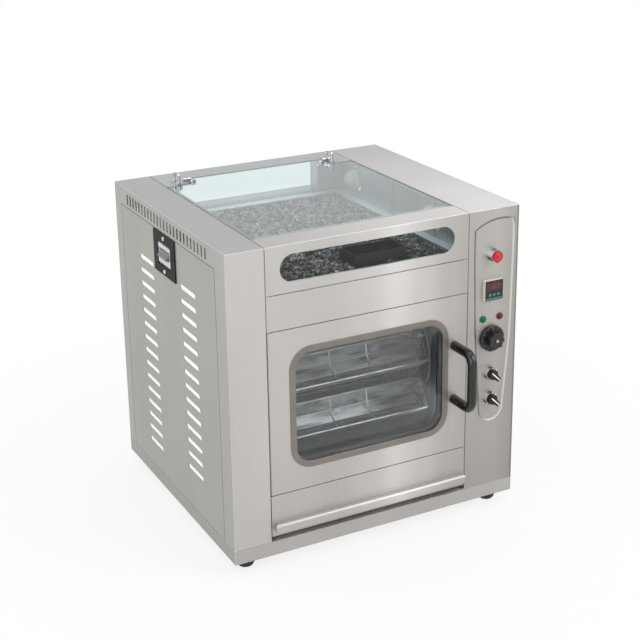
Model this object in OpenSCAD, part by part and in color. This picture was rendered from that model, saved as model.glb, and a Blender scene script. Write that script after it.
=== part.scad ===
// Baked potato oven: a rotating-tray oven below a glazed warming compartment.
// Lengths are in millimetres. X runs to the right, Y to the back and Z up.
// Each piece is drawn in the case frame, whose origin is the front left lower
// corner of the plinth, and in_case() puts it on its feet about the Z axis.

/* [Cabinet] */
// Width of the cabinet
case_w = 710; // [690:1:760]
// Depth of the cabinet, without the handles
case_d = 640; // [625:1:680]
// Height of the cabinet, without the feet
case_h = 700; // [696:1:725]
// Width of the narrow column on the left
left_w = 87; // [80:1:95]
// Width of the control column on the right
column_w = 130; // [124:1:140]
// Height of the plinth
plinth_h = 33; // [28:1:36]
// Thickness of the steel sheet
sheet = 1.5; // [1.2:0.1:1.8]
// Gap between neighbouring panels
seam = 1.5; // [1:0.1:2]
// Width of the flange that an inset panel lies on
joggle_w = 12; // [8:1:16]

/* [Feet] */
// Radius of a foot
foot_r = 20; // [16:1:24]
// Height of a foot
foot_h = 30; // [24:1:40]
// Radius of the domed edge of a foot
foot_dome_r = 12; // [6:1:14]
// Distance of a foot's centre from the two nearest faces
foot_inset = 41; // [36:1:60]

/* [Front panels] */
// Height of the drawer's lower edge above the plinth
drawer_gap = 12; // [6:1:16]
// Height of the seam between drawer and door
door_z = 142; // [138:1:146]
// Height of the blank panel above the door
blank_h = 79; // [73:1:85]
// Height of the fascia
fascia_h = 105; // [100:1:112]
// Depth of the steel rail in front of the lid
rail_d = 65; // [55:1:75]
// Distance of the oblong window's ends from the fascia's ends
slit_inset = 35; // [25:1:55]
// Height of the oblong window
slit_h = 60; // [50:1:66]
// Distance of the oblong window's centre below the top
slit_drop = 52; // [48:1:56]
// Thickness of the panes
pane_t = 4; // [3:0.5:5]
// How far a pane runs past its opening
pane_lap = 8; // [5:1:10]

/* [Door] */
// Thickness of the door
door_t = 30; // [26:1:32]
// Radius of the door's hinge edge
door_edge_r = 6.5; // [5:0.5:8]
// Radius of the door's hinge pins
door_pin_r = 3; // [2.5:0.5:4]
// Width of the rim round the door window
rim_w = 14; // [10:1:16]
// Outer corner radius of the rim
rim_r = 52; // [40:1:60]
// Distance of the rim from the door's left seam
rim_left = 51; // [46:1:60]
// Distance of the rim from the door's right seam
rim_right = 50; // [48:1:60]
// Height of the rim's lower edge above the door's lower seam
rim_lift = 48; // [40:1:56]
// Distance of the rim's upper edge from the door's upper seam
rim_drop = 45; // [40:1:56]
// How far the rim stands proud
rim_proud = 1.5; // [1:0.5:3]
// Distance of the oven mouth's sides from the chamber's walls
mouth_side = 16.5; // [13:0.5:24]
// Distance of the oven mouth's top from the chamber's roof
mouth_drop = 32; // [26:1:44]

/* [Handle] */
// Radius of the handle's bar
handle_r = 11; // [9:0.5:12]
// Distance between the handle's two feet
handle_span = 129; // [115:1:150]
// Distance of the bar's axis from the door
handle_out = 74; // [60:1:80]
// Bend radius at the handle's elbows
handle_bend = 24; // [18:1:28]
// Distance of the handle from the door's right seam
handle_in = 34; // [30:1:36]
// Height of the lower foot above the door's lower seam
handle_lift = 127; // [110:1:150]

/* [Drawer] */
// Depth of the drawer's box
drawer_d = 520; // [420:1:560]
// Height of the drawer's box
drawer_h = 60; // [50:1:64]
// Height of the pull lip
lip_h = 20; // [18:1:24]
// How far the pull lip stands out
lip_out = 16; // [14:1:20]
// Height of the lip's lower edge above the drawer's lower edge
lip_lift = 13; // [10:1:20]
// Radius of the lip's rounded top and ends
lip_r = 9; // [6:1:9]

/* [Rack] */
// Number of trays on the rack
trays = 6; // [6:1:6]
// Radius of the circle of the tray pins
rack_r = 115; // [112:1:118]
// Distance of the rack's shaft from the front
rack_y = 225; // [218:1:240]
// Height of the rack's shaft
rack_z = 323; // [321:1:326]
// Radius of the shaft
shaft_r = 8; // [6:1:9]
// Radius of a tray pin
tray_pin_r = 4; // [3:0.5:5]
// Radius of the discs that carry the pins
disc_r = 124; // [122:1:127]
// Distance of a tray's end from the oven wall
tray_end_gap = 34; // [30:1:44]

/* [Oven] */
// Depth of the oven's chamber
oven_d = 435; // [420:1:450]
// Distance of the chamber's roof from the seam below the fascia
roof_drop = 65; // [55:1:80]
// Thickness of the insulating blanket
blanket_t = 14; // [12:1:15]
// Radius of a heating element
heater_r = 4; // [3:0.5:5]
// Distance between the two legs of an element
heater_pitch = 46; // [36:1:56]

/* [Warming compartment] */
// Thickness of the lid's glass
lid_t = 5; // [4:0.5:6]
// Width of a corner plate
plate_w = 60; // [50:1:62]
// Depth of a corner plate
plate_d = 112; // [100:1:116]
// Depth of the rear rail
rear_rail_d = 62; // [50:1:66]
// Width of the ledge round the floor
ledge_w = 24; // [18:1:30]
// Height of the ledge round the floor
ledge_h = 9; // [7:1:12]
// Depth of the stones that lie on the floor
stones_h = 8; // [6:1:10]
// Distance between neighbouring stones
stone_pitch = 32; // [28:1:40]
// Length of the black box
box_w = 130; // [110:1:150]
// Depth of the black box
box_d = 66; // [56:1:72]
// Height of the black box
box_h = 27; // [22:1:30]

/* [Left side] */
// Length of a louvre slot
louvre_len = 84; // [70:1:90]
// Height of a louvre slot
louvre_h = 12; // [8:1:14]
// Distance of the lowest louvre slot from the plinth
louvre_lift = 64.5; // [50:0.5:80]
// Number of small vents in the strip above the cover
vents = 25; // [15:1:26]
// Width of a small vent
vent_w = 8; // [5:1:10]
// Height of a small vent
vent_h = 24; // [18:1:26]
// Width of the breaker's escutcheon
plate_bw = 124; // [110:1:128]
// Height of the breaker's escutcheon
plate_bh = 96; // [90:1:100]

/* [Controls] */
// Distance of the controls' axis from the right side
control_in = 66; // [62:1:68]
// Size of the meter's front
meter_w = 48; // [44:1:50]
// How far the meter stands out
meter_out = 9; // [6:1:12]
// Radius of the main dial's skirt
dial_r = 30.5; // [26:0.5:32]
// Radius of the push button's collar
collar_r = 14.5; // [13:0.5:16]
// Travel of the push button
button_travel = 4; // [2:0.5:5]
// Radius of a selector's bezel
bezel_r = 15; // [14:0.5:16]
// Radius of an indicator lamp
lamp_r = 8; // [6:0.5:9]

/* [Hidden] */
$fn = 64;

eps = 1;                    // how far a cut runs past the face it opens
air = 0.3;                  // gap between pieces that move past each other
run = 0.06;                 // radial clearance of a shaft or pin in its bore

// Places in the case frame
column_x = case_w - column_w;
centre_x = (left_w + column_x) / 2;
panel_x = [left_w + seam, column_x - seam];
drawer_z = plinth_h + drawer_gap;
fascia_z = case_h - fascia_h;
blank_z = fascia_z - blank_h;
slit_z = case_h - slit_drop;
slit_w = panel_x[1] - panel_x[0] - 2 * slit_inset;
gland_out = 18;
handle_reach = handle_out + handle_r;
front_y = -(case_d + gland_out - handle_reach) / 2;

// Covers in the sides
cover_edge = 53;            // from the front face to the cover
cover_rear = 39;            // from the cover to the rear face
cover_drop = 44.5;          // from the top to the cover
cover_y = [cover_edge, case_d - cover_rear];
cover_top = case_h - cover_drop;
flange_lap = 6;

// Door
door_x = panel_x;
door_zs = [door_z + seam / 2, blank_z - seam / 2];
door_axis = [door_x[0] + door_edge_r, door_edge_r];
pin_block = 15;
rim_len = column_x - left_w - rim_left - rim_right;
rim_h = blank_z - door_z - rim_lift - rim_drop;
rim_c = [left_w + rim_left + rim_len / 2, door_z + rim_lift + rim_h / 2];
handle_x = column_x - handle_in;
handle_z = door_z + handle_lift;

// Oven
seal_t = 2.7;
frame_y = door_t + air + seal_t;
deck_z = door_z - 26;
oven_x = [left_w + blanket_t, column_x - blanket_t];
oven_y = [frame_y, frame_y + oven_d];
oven_z = [deck_z + sheet + blanket_t, fascia_z - roof_drop];
mouth_z = oven_z[0] + 28.5;
mouth_w = oven_x[1] - oven_x[0] - 2 * mouth_side;
mouth_h = oven_z[1] - mouth_z - mouth_drop;
heater_gap = 24;            // from an element's axis to the wall behind it
heater_z = [oven_z[0] + 45, oven_z[1] - 135];
bush_r = 12;
bush_flange_r = 20;

// Rack and trays
tray_x = [oven_x[0] + sheet + tray_end_gap, oven_x[1] - sheet - tray_end_gap];
disc_t = 3;
disc_gap = 12;              // from a tray's end to the disc
tray_wall = 1.5;
tray_first = 30;            // angle of the first tray above the horizontal, at rest
rib_w = 2.6;                // width of a divider across a tray
ribs = 3;                   // dividers on each tray

// Warming compartment
tub_z = fascia_z + 2;
tub_y = [sheet + pane_t + 2.5, case_d - 42];
seat_z = case_h - lid_t - air;
plate_x = [panel_x[0] + plate_w - seam, panel_x[1] - plate_w + seam];
plate_y = case_d - plate_d;
lid_y = [rail_d + seam, case_d - rear_rail_d - seam];
hinge_y = plate_y + 24;
hinge_up = 6;
stud_pitch = 30;
stud_r = 3.2;
stud_x = [plate_x[0] - 24, plate_x[1] + 9];
rear_window_x = plate_x;
rear_window_z = [tub_z + 18, case_h - 16];
box_at = [centre_x + 55, tub_y[0] + ledge_w + 53];

// Left side pieces
breaker_y = 328;
breaker_z = cover_top - 50;
breaker_w = 71;
breaker_h = 85;
nose_h = 45;
nose_out = 1;
window_bh = 55;
louvre_y = [204, 448];
louvre_n = [14, 15];
louvre_top = cover_top - 96;
louvre_pitch = (louvre_top - plinth_h - louvre_lift) / (max(louvre_n) - 1);

// Controls, spaced down from the top
control_x = case_w - control_in;
button_z = case_h - 106;
meter_z = case_h - 187;
lamps_z = case_h - 255;
lamps_pitch = 45;
dial_z = case_h - 303;
selector_z = [case_h - 389, case_h - 450];
thread_r = 11;              // threaded barrel of a button or selector
thread_end = 46;            // from the front face to the barrel's end
meter_depth = 80;           // from the front face to the meter's rear
spindle_end = 28;           // from the front face to the dial spindle's end
key_r = 2.4;
keys_pitch = 11;

// A box from its ranges along X, Y and Z
module slab(x, y, z) translate([x[0], y[0], z[0]]) cube([x[1] - x[0], y[1] - y[0], z[1] - z[0]]);

// Puts a piece of the case frame on its feet, centred over its footprint
module in_case() translate([-case_w / 2, front_y, foot_h]) children();

// A flat shape in X and Z, as thick as t, whose front lies at y
module facing(y, t) translate([0, y + t, 0]) rotate([90, 0, 0]) linear_extrude(t) children();

// A flat shape in Y and Z, as thick as t, whose left face lies at x
module sideways(x, t) translate([x, 0, 0]) rotate([90, 0, 90]) linear_extrude(t) children();

// Round bars along X and along Y, from their ends' places
module bar_x(x, y, z, r) translate([x[0], y, z]) rotate([0, 90, 0]) cylinder(h = x[1] - x[0], r = r);
module bar_y(x, y, z, r) translate([x, y[1], z]) rotate([90, 0, 0]) cylinder(h = y[1] - y[0], r = r);

// A rectangle about the origin with round corners
module rounded(w, h, r) {
    square([w - 2 * r, h], center = true);
    square([w, h - 2 * r], center = true);
    for (x = [-1, 1], y = [-1, 1])
        translate([x * (w / 2 - r), y * (h / 2 - r)]) circle(r);
}

// The mirror image about the cabinet's middle
module other_side() translate([case_w, 0, 0]) mirror([1, 0, 0]) children();

// ---------------------------------------------------------------- cabinet

// Folded pan with a flange round its top, which the columns stand on
module base_pan() color("#b9b6b2") in_case() difference() {
    slab([0, case_w], [0, case_d], [0, plinth_h]);
    slab([sheet, case_w - sheet], [sheet, case_d - sheet], [sheet, plinth_h - sheet]);
    slab([20, case_w - 20], [20, case_d - 20], [plinth_h / 2, plinth_h + eps]);
}

module foot() translate([0, 0, -foot_h]) rotate_extrude() intersection() {
    square([foot_r, foot_h]);
    union() {
        translate([0, foot_dome_r]) square([foot_r, foot_h]);
        translate([foot_r - foot_dome_r, foot_dome_r]) circle(foot_dome_r);
        square([foot_r - foot_dome_r, foot_h]);
    }
}

module feet() color("#262626") in_case()
    for (x = [foot_inset, case_w - foot_inset], y = [foot_inset, case_d - foot_inset])
        translate([x, y, 0]) foot();

// Box column with an opening in its outer side for a cover
module casing(w) {
    difference() {
        slab([0, w], [0, case_d], [plinth_h, case_h]);
        slab([sheet, w - sheet], [sheet, case_d - sheet], [plinth_h - eps, case_h - sheet]);
        slab([-eps, sheet + eps], cover_y, [plinth_h - eps, cover_top]);
        small_vents();
    }
    cover_flange();
    slab([w - joggle_w, w + joggle_w], [sheet, 2 * sheet], [blank_z, case_h - sheet]);
    slab([w - joggle_w, w + joggle_w], [case_d - 2 * sheet, case_d - sheet],
        [plinth_h, case_h - sheet]);
}

// Row of upright vents near the top of a side
module small_vents() {
    first = cover_y[0] + 44;
    pitch = (cover_y[1] - cover_y[0] - 88) / (vents - 1);
    for (i = [0:vents - 1])
        translate([0, first + i * pitch, cover_top + 8])
            slab([-eps, sheet + eps], [-vent_w / 2, vent_w / 2], [0, vent_h]);
}

// Flange behind the edge of the opening, which the cover lies on
module cover_flange() difference() {
    slab([sheet, 2 * sheet], [cover_y[0] - flange_lap, cover_y[1] + flange_lap],
        [plinth_h, cover_top + flange_lap]);
    slab([0, 3 * sheet], [cover_y[0] + joggle_w, cover_y[1] - joggle_w],
        [plinth_h - eps, cover_top - joggle_w]);
}

module left_casing() color("#bdbab6") in_case() casing(left_w);

// Outline of the pressed field that carries the controls
module control_field() {
    half = column_w / 2 - 12;
    low_r = 34;
    arch_r = 118;
    translate([control_x + 3, case_h]) {
        translate([0, -474]) circle(low_r);
        polygon([[-low_r, -474], [-half + 5, -282], [-half, -110], [half, -110], [half - 4, -302],
            [low_r, -470]]);
        intersection() {
            translate([-half, -120]) square([2 * half, 99]);
            translate([16, -140]) circle(arch_r, $fn = 128);
        }
    }
}

module right_casing() color("#bdbab6") in_case() difference() {
    union() {
        difference() {
            other_side() casing(column_w);
            facing(-eps, sheet + eps) control_field();
        }
        // floor of the pressed field, one sheet thickness behind the face
        intersection() {
            facing(sheet, sheet) union() {
                control_field();
                translate([0, 2]) control_field();
                for (x = [-2, 2]) translate([x, 0]) control_field();
                translate([0, -2]) control_field();
            }
            slab([column_x, case_w], [0, 3 * sheet], [0, case_h]);
        }
    }
    bar_y(control_x, [-eps, 4 * sheet], button_z, thread_r + air);
    for (z = selector_z) bar_y(control_x, [-eps, 4 * sheet], z, thread_r + air);
    for (x = [-1, 1]) bar_y(control_x + x * lamps_pitch / 2, [-eps, 4 * sheet], lamps_z, lamp_r - 2 + air);
    bar_y(control_x, [-eps, 4 * sheet], dial_z, 5);
    slab([control_x - meter_w / 2 + 1.5, control_x + meter_w / 2 - 1.5], [-eps, 4 * sheet],
        [meter_z - meter_w / 2 + 1.5, meter_z + meter_w / 2 - 1.5]);
    bar_x([column_x - eps, column_x + 2 * sheet], rack_y, rack_z, bush_r + air);
    heater_holes([column_x - eps, column_x + 2 * sheet]);
}

// Slots of one side cover
module louvres() {
    for (c = [0, 1], i = [0:louvre_n[c] - 1])
        translate([louvre_y[c], louvre_top - i * louvre_pitch])
            rounded(louvre_len, louvre_h, louvre_h / 2 - 0.01);
}

module cover_blank() translate([cover_y[0] + seam, plinth_h + seam / 2])
    square([cover_y[1] - cover_y[0] - 2 * seam, cover_top - plinth_h - 1.5 * seam]);

module left_cover() color("#a9a8a2") in_case() sideways(0, sheet) difference() {
    cover_blank();
    louvres();
    translate([breaker_y, breaker_z]) square([breaker_w + 2 * air, window_bh], center = true);
}

module right_cover() color("#a9a8a2") in_case() other_side() sideways(0, sheet) difference() {
    cover_blank();
    louvres();
}

// White ceramic-fibre filling of the left column and blanket round the oven
module insulation() color("#f4f4f2") in_case() {
    difference() {
        slab([sheet, left_w - 27], [cover_y[0] + joggle_w + 2, cover_y[1] - joggle_w - 2],
            [plinth_h, cover_top - joggle_w - 2]);
        slab([0, 66], [breaker_y - breaker_w / 2 - 2, breaker_y + breaker_w / 2 + 2],
            [breaker_z - breaker_h / 2 - 2, cover_top]);
    }
    difference() {
        slab([left_w, column_x], [oven_y[0] + sheet, oven_y[1] + blanket_t],
            [deck_z + sheet, oven_z[1] + blanket_t]);
        slab(oven_x, [oven_y[0], oven_y[1]], oven_z);
        bar_x([left_w - eps, column_x + eps], rack_y, rack_z, bush_r + air);
        heater_holes([oven_x[1] - eps, column_x + eps]);
    }
}

// Slots and gland hole in the sheet that closes the back
module rear_panel() color("#b9b6b2") in_case() facing(case_d - sheet, sheet) difference() {
    translate([panel_x[0], plinth_h + seam / 2])
        square([panel_x[1] - panel_x[0], fascia_z - plinth_h - 1.5 * seam]);
    for (z = [fascia_z - 395:24:fascia_z - 179], x = [centre_x - 90, centre_x + 90])
        translate([x, z]) rounded(96, 8, 3.99);
    translate([panel_x[1] - 45, plinth_h + 40]) circle(10 + air);
}

module cable_gland() color("#2b2b2b") in_case() translate([panel_x[1] - 45, 0, plinth_h + 40])
    difference() {
        union() {
            bar_y(0, [case_d, case_d + 4], 0, 15);
            bar_y(0, [case_d - 12, case_d], 0, 10);
            bar_y(0, [case_d + 4, case_d + gland_out], 0, 11);
        }
        bar_y(0, [case_d - 13, case_d + gland_out + eps], 0, 5);
    }

// ------------------------------------------------------- fixed front panels

module slit() translate([centre_x - 1.5, slit_z]) rounded(slit_w, slit_h, slit_h / 2 - 0.01);

// Fascia and top rail, folded from one sheet, with the lid's front seat
module front_fascia() color("#c2bfbb") in_case() {
    facing(0, sheet) difference() {
        translate([panel_x[0], fascia_z + seam / 2])
            square([panel_x[1] - panel_x[0], case_h - fascia_z - seam / 2]);
        slit();
    }
    slab(panel_x, [0, rail_d], [case_h - sheet, case_h]);
    slab([panel_x[0] + joggle_w + seam, panel_x[1] - joggle_w - seam], [rail_d - sheet, rail_d],
        [seat_z - sheet, case_h]);
    slab([panel_x[0] + joggle_w + seam, panel_x[1] - joggle_w - seam], [rail_d - sheet, rail_d + joggle_w],
        [seat_z - sheet, seat_z]);
}

module fascia_glass() color("#bfe0e0", 0.35) in_case()
    translate([centre_x - 1.5, sheet, slit_z])
        translate([0, pane_t / 2, 0]) cube([slit_w + 2 * pane_lap, pane_t, slit_h + 2 * pane_lap], center = true);

module blank_panel() color("#c2bfbb") in_case()
    slab(panel_x, [0, sheet], [blank_z + seam / 2, fascia_z - seam / 2]);

// ------------------------------------------------------ warming compartment

// Rear rail, corner plates, posts, sill and window frame
module rear_frame() color("#bdbab6") in_case() difference() {
    union() {
        facing(case_d - sheet, sheet) difference() {
            translate([panel_x[0], fascia_z + seam / 2])
                square([panel_x[1] - panel_x[0], case_h - fascia_z - seam / 2]);
            translate([rear_window_x[0], rear_window_z[0]])
                square([rear_window_x[1] - rear_window_x[0], rear_window_z[1] - rear_window_z[0]]);
        }
        slab(panel_x, [case_d - rear_rail_d, case_d], [case_h - sheet, case_h]);
        slab([plate_x[0], plate_x[1]], [case_d - rear_rail_d, case_d - rear_rail_d + sheet],
            [seat_z - sheet, case_h]);
        for (x = [[panel_x[0], plate_x[0]], [plate_x[1], panel_x[1]]]) {
            slab(x, [plate_y, case_d - rear_rail_d + eps], [case_h - sheet, case_h]);
            slab(x, [tub_y[1] + air, tub_y[1] + air + sheet], [tub_z, case_h]);
        }
        for (x = [[plate_x[0] - sheet, plate_x[0]], [plate_x[1], plate_x[1] + sheet]])
            slab(x, [tub_y[1] + air, case_d - sheet - pane_t - air], [tub_z, case_h]);
        slab([plate_x[0], plate_x[1]], [tub_y[1] + air, case_d - sheet - pane_t - air],
            [rear_window_z[0] - sheet, rear_window_z[0]]);
    }
    for (x = stud_x, y = [-1, 1])
        translate([x, hinge_y + y * stud_pitch / 2, case_h - 2 * sheet]) cylinder(h = 3 * sheet, r = stud_r + air);
}

module rear_glass() color("#bfe0e0", 0.35) in_case()
    slab([rear_window_x[0] - pane_lap, rear_window_x[1] + pane_lap],
        [case_d - sheet - pane_t, case_d - sheet], [rear_window_z[0] - pane_lap, rear_window_z[1] + pane_lap]);

// Steel tray with tall sides, flanges that the lid lies on and a stepped floor
module warming_tub() color("#9aa0a2") in_case() {
    inner_x = [left_w + sheet, column_x - sheet];
    difference() {
        slab([left_w, column_x], tub_y, [tub_z, seat_z]);
        slab(inner_x, [tub_y[0] + sheet, tub_y[1] - sheet], [tub_z + sheet, case_h]);
        slab(inner_x, [0, tub_y[0] + 2 * sheet], [tub_z + 16, case_h]);
        slab(inner_x, [tub_y[1] - 2 * sheet, case_d], [tub_z + 16, case_h]);
    }
    for (x = [[left_w, left_w + joggle_w], [column_x - joggle_w, column_x]])
        slab(x, [tub_y[0], plate_y - seam], [seat_z - sheet, seat_z]);
    difference() {
        slab(inner_x, [tub_y[0] + sheet, tub_y[1] - sheet], [tub_z + sheet / 2, tub_z + sheet + ledge_h]);
        slab([inner_x[0] + ledge_w, inner_x[1] - ledge_w],
            [tub_y[0] + sheet + ledge_w, tub_y[1] - sheet - ledge_w], [tub_z + sheet, case_h]);
    }
}

// Bed of stones: low domes of varied size in staggered rows, flat where the black box stands
stones_x = [left_w + sheet + ledge_w + air, column_x - sheet - ledge_w - air];
stones_y = [tub_y[0] + sheet + ledge_w + air, tub_y[1] - sheet - ledge_w - air];
bed_h = stones_h - 4;
row_pitch = stone_pitch * sqrt(3) / 2;
stone_cols = floor((stones_x[1] - stones_x[0]) / stone_pitch - 0.5);
stone_rows = floor((stones_y[1] - stones_y[0]) / row_pitch - 0.2);
function near_box(x, y, r) = abs(x - box_at[0]) < box_w / 2 + r && abs(y - box_at[1]) < box_d / 2 + r;

module stone(r) rotate_extrude($fn = 24) intersection() {
    translate([0, -0.5 * r]) circle(r, $fn = 48);
    square(r);
}

module stones() color("#4b4a48") in_case() translate([0, 0, tub_z + sheet]) {
    slab(stones_x, stones_y, [0, bed_h]);
    for (j = [0:stone_rows - 1], i = [0:stone_cols - 1]) {
        grain = sin(131 * i + 77 * j * j + 59 * j);
        r = stone_pitch * (0.5 + 0.06 * grain);
        x = stones_x[0] + stone_pitch * (0.55 + i + 0.5 * (j % 2));
        y = stones_y[0] + stone_pitch * 0.55 + j * row_pitch;
        if (!near_box(x, y, r + 1)) translate([x, y, bed_h]) stone(r);
    }
}

// Open black box that stands among the stones
module stone_box() color("#1d1d1f") in_case() translate([box_at[0], box_at[1], tub_z + sheet + bed_h])
    difference() {
        translate([-box_w / 2, -box_d / 2, 0]) cube([box_w, box_d, box_h]);
        translate([2 - box_w / 2, 2 - box_d / 2, 2]) cube([box_w - 4, box_d - 4, box_h]);
    }

lamp_y = [150, case_d - 130];
lamp_z = case_h - 48;
globe_r = 20;

module lamp_holders() color("#c8c8c8") in_case() for (y = lamp_y)
    bar_x([column_x - sheet - 9, column_x - sheet], y, lamp_z, globe_r + 5);

module lamp_globes() color("#e8f0f0") in_case() for (y = lamp_y) difference() {
    translate([column_x - sheet - 9, y, lamp_z]) sphere(globe_r);
    slab([column_x - sheet - 9, column_x + globe_r], [0, case_d], [0, case_h]);
}

// Glass lid, notched round the corner plates and drilled for the clamps
module lid_glass() color("#bfe0e0", 0.35) in_case() difference() {
    union() {
        slab(panel_x, [lid_y[0], plate_y - seam], [case_h - lid_t, case_h]);
        slab([plate_x[0] + seam, plate_x[1] - seam], [plate_y - seam - eps, lid_y[1]],
            [case_h - lid_t, case_h]);
    }
    for (x = clamp_x) translate([x, hinge_y, case_h - 2 * lid_t]) cylinder(h = 3 * lid_t, r = 3 + air);
}

knuckle_r = 3.6;
knuckle_len = 9;
lid_pin_r = 1.6;
clamp_w = 18;
clamp_x = [plate_x[0] + 15, plate_x[1] - 15];
hinge_z = case_h + hinge_up;

// One clamp: a wing on the glass, a jaw below it and a screw through both
module lid_clamp() difference() {
    union() {
        translate([0, 0, case_h]) cylinder(h = 2, r = clamp_w / 2);
        slab([-13, 0], [-clamp_w / 4, clamp_w / 4], [case_h, case_h + 2]);
        slab([-13, knuckle_len - 13], [-knuckle_r, knuckle_r], [case_h + 1, hinge_z]);
        bar_x([-13, knuckle_len - 13], 0, hinge_z, knuckle_r);
        translate([0, 0, case_h - lid_t - 7]) cylinder(h = 7, r = clamp_w / 2);
        translate([0, 0, case_h - lid_t - eps]) cylinder(h = lid_t + 2 * eps, r = 3);
        translate([0, 0, case_h + 1]) cylinder(h = 3, r = 4.5);
    }
    bar_x([-14, knuckle_len - 12], 0, hinge_z, lid_pin_r + run);
}

module lid_clamps() color("#cfcfcf") in_case() {
    translate([clamp_x[0], hinge_y, 0]) lid_clamp();
    translate([clamp_x[1], hinge_y, 0]) mirror([1, 0, 0]) lid_clamp();
}

base_t = 2;

// Plate, studs, knuckle and pin that carry one clamp; reach is from the studs to the plate's edge
module hinge_base(reach) {
    slab([-8, reach - seam], [-21, 21], [case_h, case_h + base_t]);
    slab([reach - knuckle_len, reach], [-knuckle_r, knuckle_r], [case_h + base_t - eps, hinge_z]);
    bar_x([reach - knuckle_len, reach], 0, hinge_z, knuckle_r);
    bar_x([reach - eps, reach + knuckle_len + 3], 0, hinge_z, lid_pin_r);
    for (y = [-1, 1]) translate([0, y * stud_pitch / 2, 0]) {
        translate([0, 0, case_h - 18]) cylinder(h = 40, r = stud_r);
        translate([0, 0, case_h + 22]) sphere(stud_r);
        translate([0, 0, case_h + base_t - eps]) cylinder(h = 4, r = 5.5, $fn = 6);
    }
    translate([0, 0, case_h - 16]) linear_extrude(16 - sheet) rounded(16, 46, 7);
}

module lid_hinge_bases() color("#cfcfcf") in_case() {
    translate([stud_x[0], hinge_y, 0]) hinge_base(plate_x[0] - stud_x[0]);
    translate([stud_x[1], hinge_y, 0]) mirror([1, 0, 0]) hinge_base(stud_x[1] - plate_x[1]);
}

// --------------------------------------------------------------------- oven

// Sheet between the drawer and the oven
module oven_deck() color("#b0aeaa") in_case()
    slab([left_w, column_x], [frame_y, case_d - 2 * sheet], [deck_z, deck_z + sheet]);

heater_y = oven_y[1] - sheet - heater_gap;
roof_y = 90;                // from the rack's shaft to the roof element
heater_mid = heater_pitch / 2;

// Holes for the legs of the three elements
module heater_holes(x) {
    for (z = heater_z, s = [-1, 1]) bar_x(x, heater_y, z + s * heater_mid, heater_r + air);
    for (s = [-1, 1]) bar_x(x, rack_y + roof_y + s * heater_mid, oven_z[1] - heater_gap, heater_r + air);
}

// One hairpin element: two legs along X joined by a half ring, in the XZ plane
module hairpin() {
    end_x = oven_x[0] + 50;
    for (s = [-1, 1]) bar_x([end_x, column_x + 12], 0, s * heater_mid, heater_r);
    translate([end_x, 0, 0]) rotate([90, 0, 0]) rotate([0, 0, 90])
        rotate_extrude(angle = 180) translate([heater_mid, 0]) circle(heater_r);
}

module heaters() color("#5d5a57") in_case() {
    for (z = heater_z) translate([0, heater_y, z]) hairpin();
    translate([0, rack_y + roof_y, oven_z[1] - heater_gap]) rotate([90, 0, 0]) hairpin();
}

// Inner box of the oven with the frame round its mouth
module oven_liner() color("#8f9496") in_case() difference() {
    union() {
        slab(oven_x, oven_y, oven_z);
        slab([left_w, column_x], [oven_y[0], oven_y[0] + sheet], [deck_z + sheet, oven_z[1] + blanket_t]);
    }
    slab([oven_x[0] + sheet, oven_x[1] - sheet], [oven_y[0] + sheet, oven_y[1] - sheet],
        [oven_z[0] + sheet, oven_z[1] - sheet]);
    slab([centre_x - mouth_w / 2, centre_x + mouth_w / 2], [oven_y[0] - eps, oven_y[0] + 2 * sheet],
        [mouth_z, mouth_z + mouth_h]);
    bar_x([left_w, column_x], rack_y, rack_z, bush_r + air);
    heater_holes([oven_x[1] - 2 * sheet, column_x]);
}

// Flanged bushes in the two side walls of the oven
module shaft_bushes() color("#a8894e") in_case() for (side = [0, 1]) translate([0, rack_y, rack_z])
    translate([side == 0 ? oven_x[0] + sheet : oven_x[1] - sheet, 0, 0]) mirror([side, 0, 0]) difference() {
        union() {
            bar_x([-12, 3], 0, 0, bush_r);
            bar_x([0, 3], 0, 0, bush_flange_r);
        }
        bar_x([-13, 4], 0, 0, shaft_r + run);
    }

gearbox_w = 68;
gearbox_d = 38;
motor_r = 30;
motor_end = 92;             // from the column's inner wall to the motor's end cap
socket_d = 30;

// Gearbox and motor on the inner wall of the control column
module gear_motor() color("#70757a") in_case() translate([column_x + sheet, rack_y, rack_z]) difference() {
    union() {
        slab([0, gearbox_d], [-gearbox_w / 2, gearbox_w / 2], [-gearbox_w / 2, gearbox_w / 2]);
        bar_x([gearbox_d, motor_end], 0, 0, motor_r);
        bar_x([motor_end, motor_end + 4], 0, 0, motor_r - 8);
    }
    bar_x([-eps, socket_d], 0, 0, shaft_r + run);
}

module rack_shaft() color("#8d9194") in_case()
    bar_x([oven_x[0] - 6, column_x + sheet + socket_d - 2], rack_y, rack_z, shaft_r);

// Place of each tray's pin round the shaft
function pin_at(i) = let (a = tray_first + i * 360 / trays)
    [rack_y - rack_r * cos(a), rack_z + rack_r * sin(a)];

// Two discs with hubs and inward pins, one at each end of the trays
module rack_discs() color("#9b9fa1") in_case() for (side = [0, 1])
    translate([side == 0 ? tray_x[0] : tray_x[1], 0, 0]) mirror([1 - side, 0, 0]) difference() {
        union() {
            bar_x([disc_gap, disc_gap + disc_t], rack_y, rack_z, disc_r);
            bar_x([disc_gap - 8, disc_gap + disc_t], rack_y, rack_z, 18);
            for (i = [0:trays - 1])
                bar_x([-14, disc_gap + eps], pin_at(i)[0], pin_at(i)[1], tray_pin_r);
        }
        bar_x([0, 2 * disc_gap], rack_y, rack_z, shaft_r + run);
        for (i = [0:trays - 1]) rotate_about_shaft(30 + i * 60)
            bar_x([0, 2 * disc_gap], rack_y - 62, rack_z, 21);
    }

module rotate_about_shaft(a) translate([0, rack_y, rack_z]) rotate([a, 0, 0]) translate([0, -rack_y, -rack_z])
    children();

// Trough in section, about its pin: a high back with two folds and a low front with a hem
trough = [[34, -2], [29, -32], [13, -54], [-18, -62], [-38, -46]];

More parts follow.
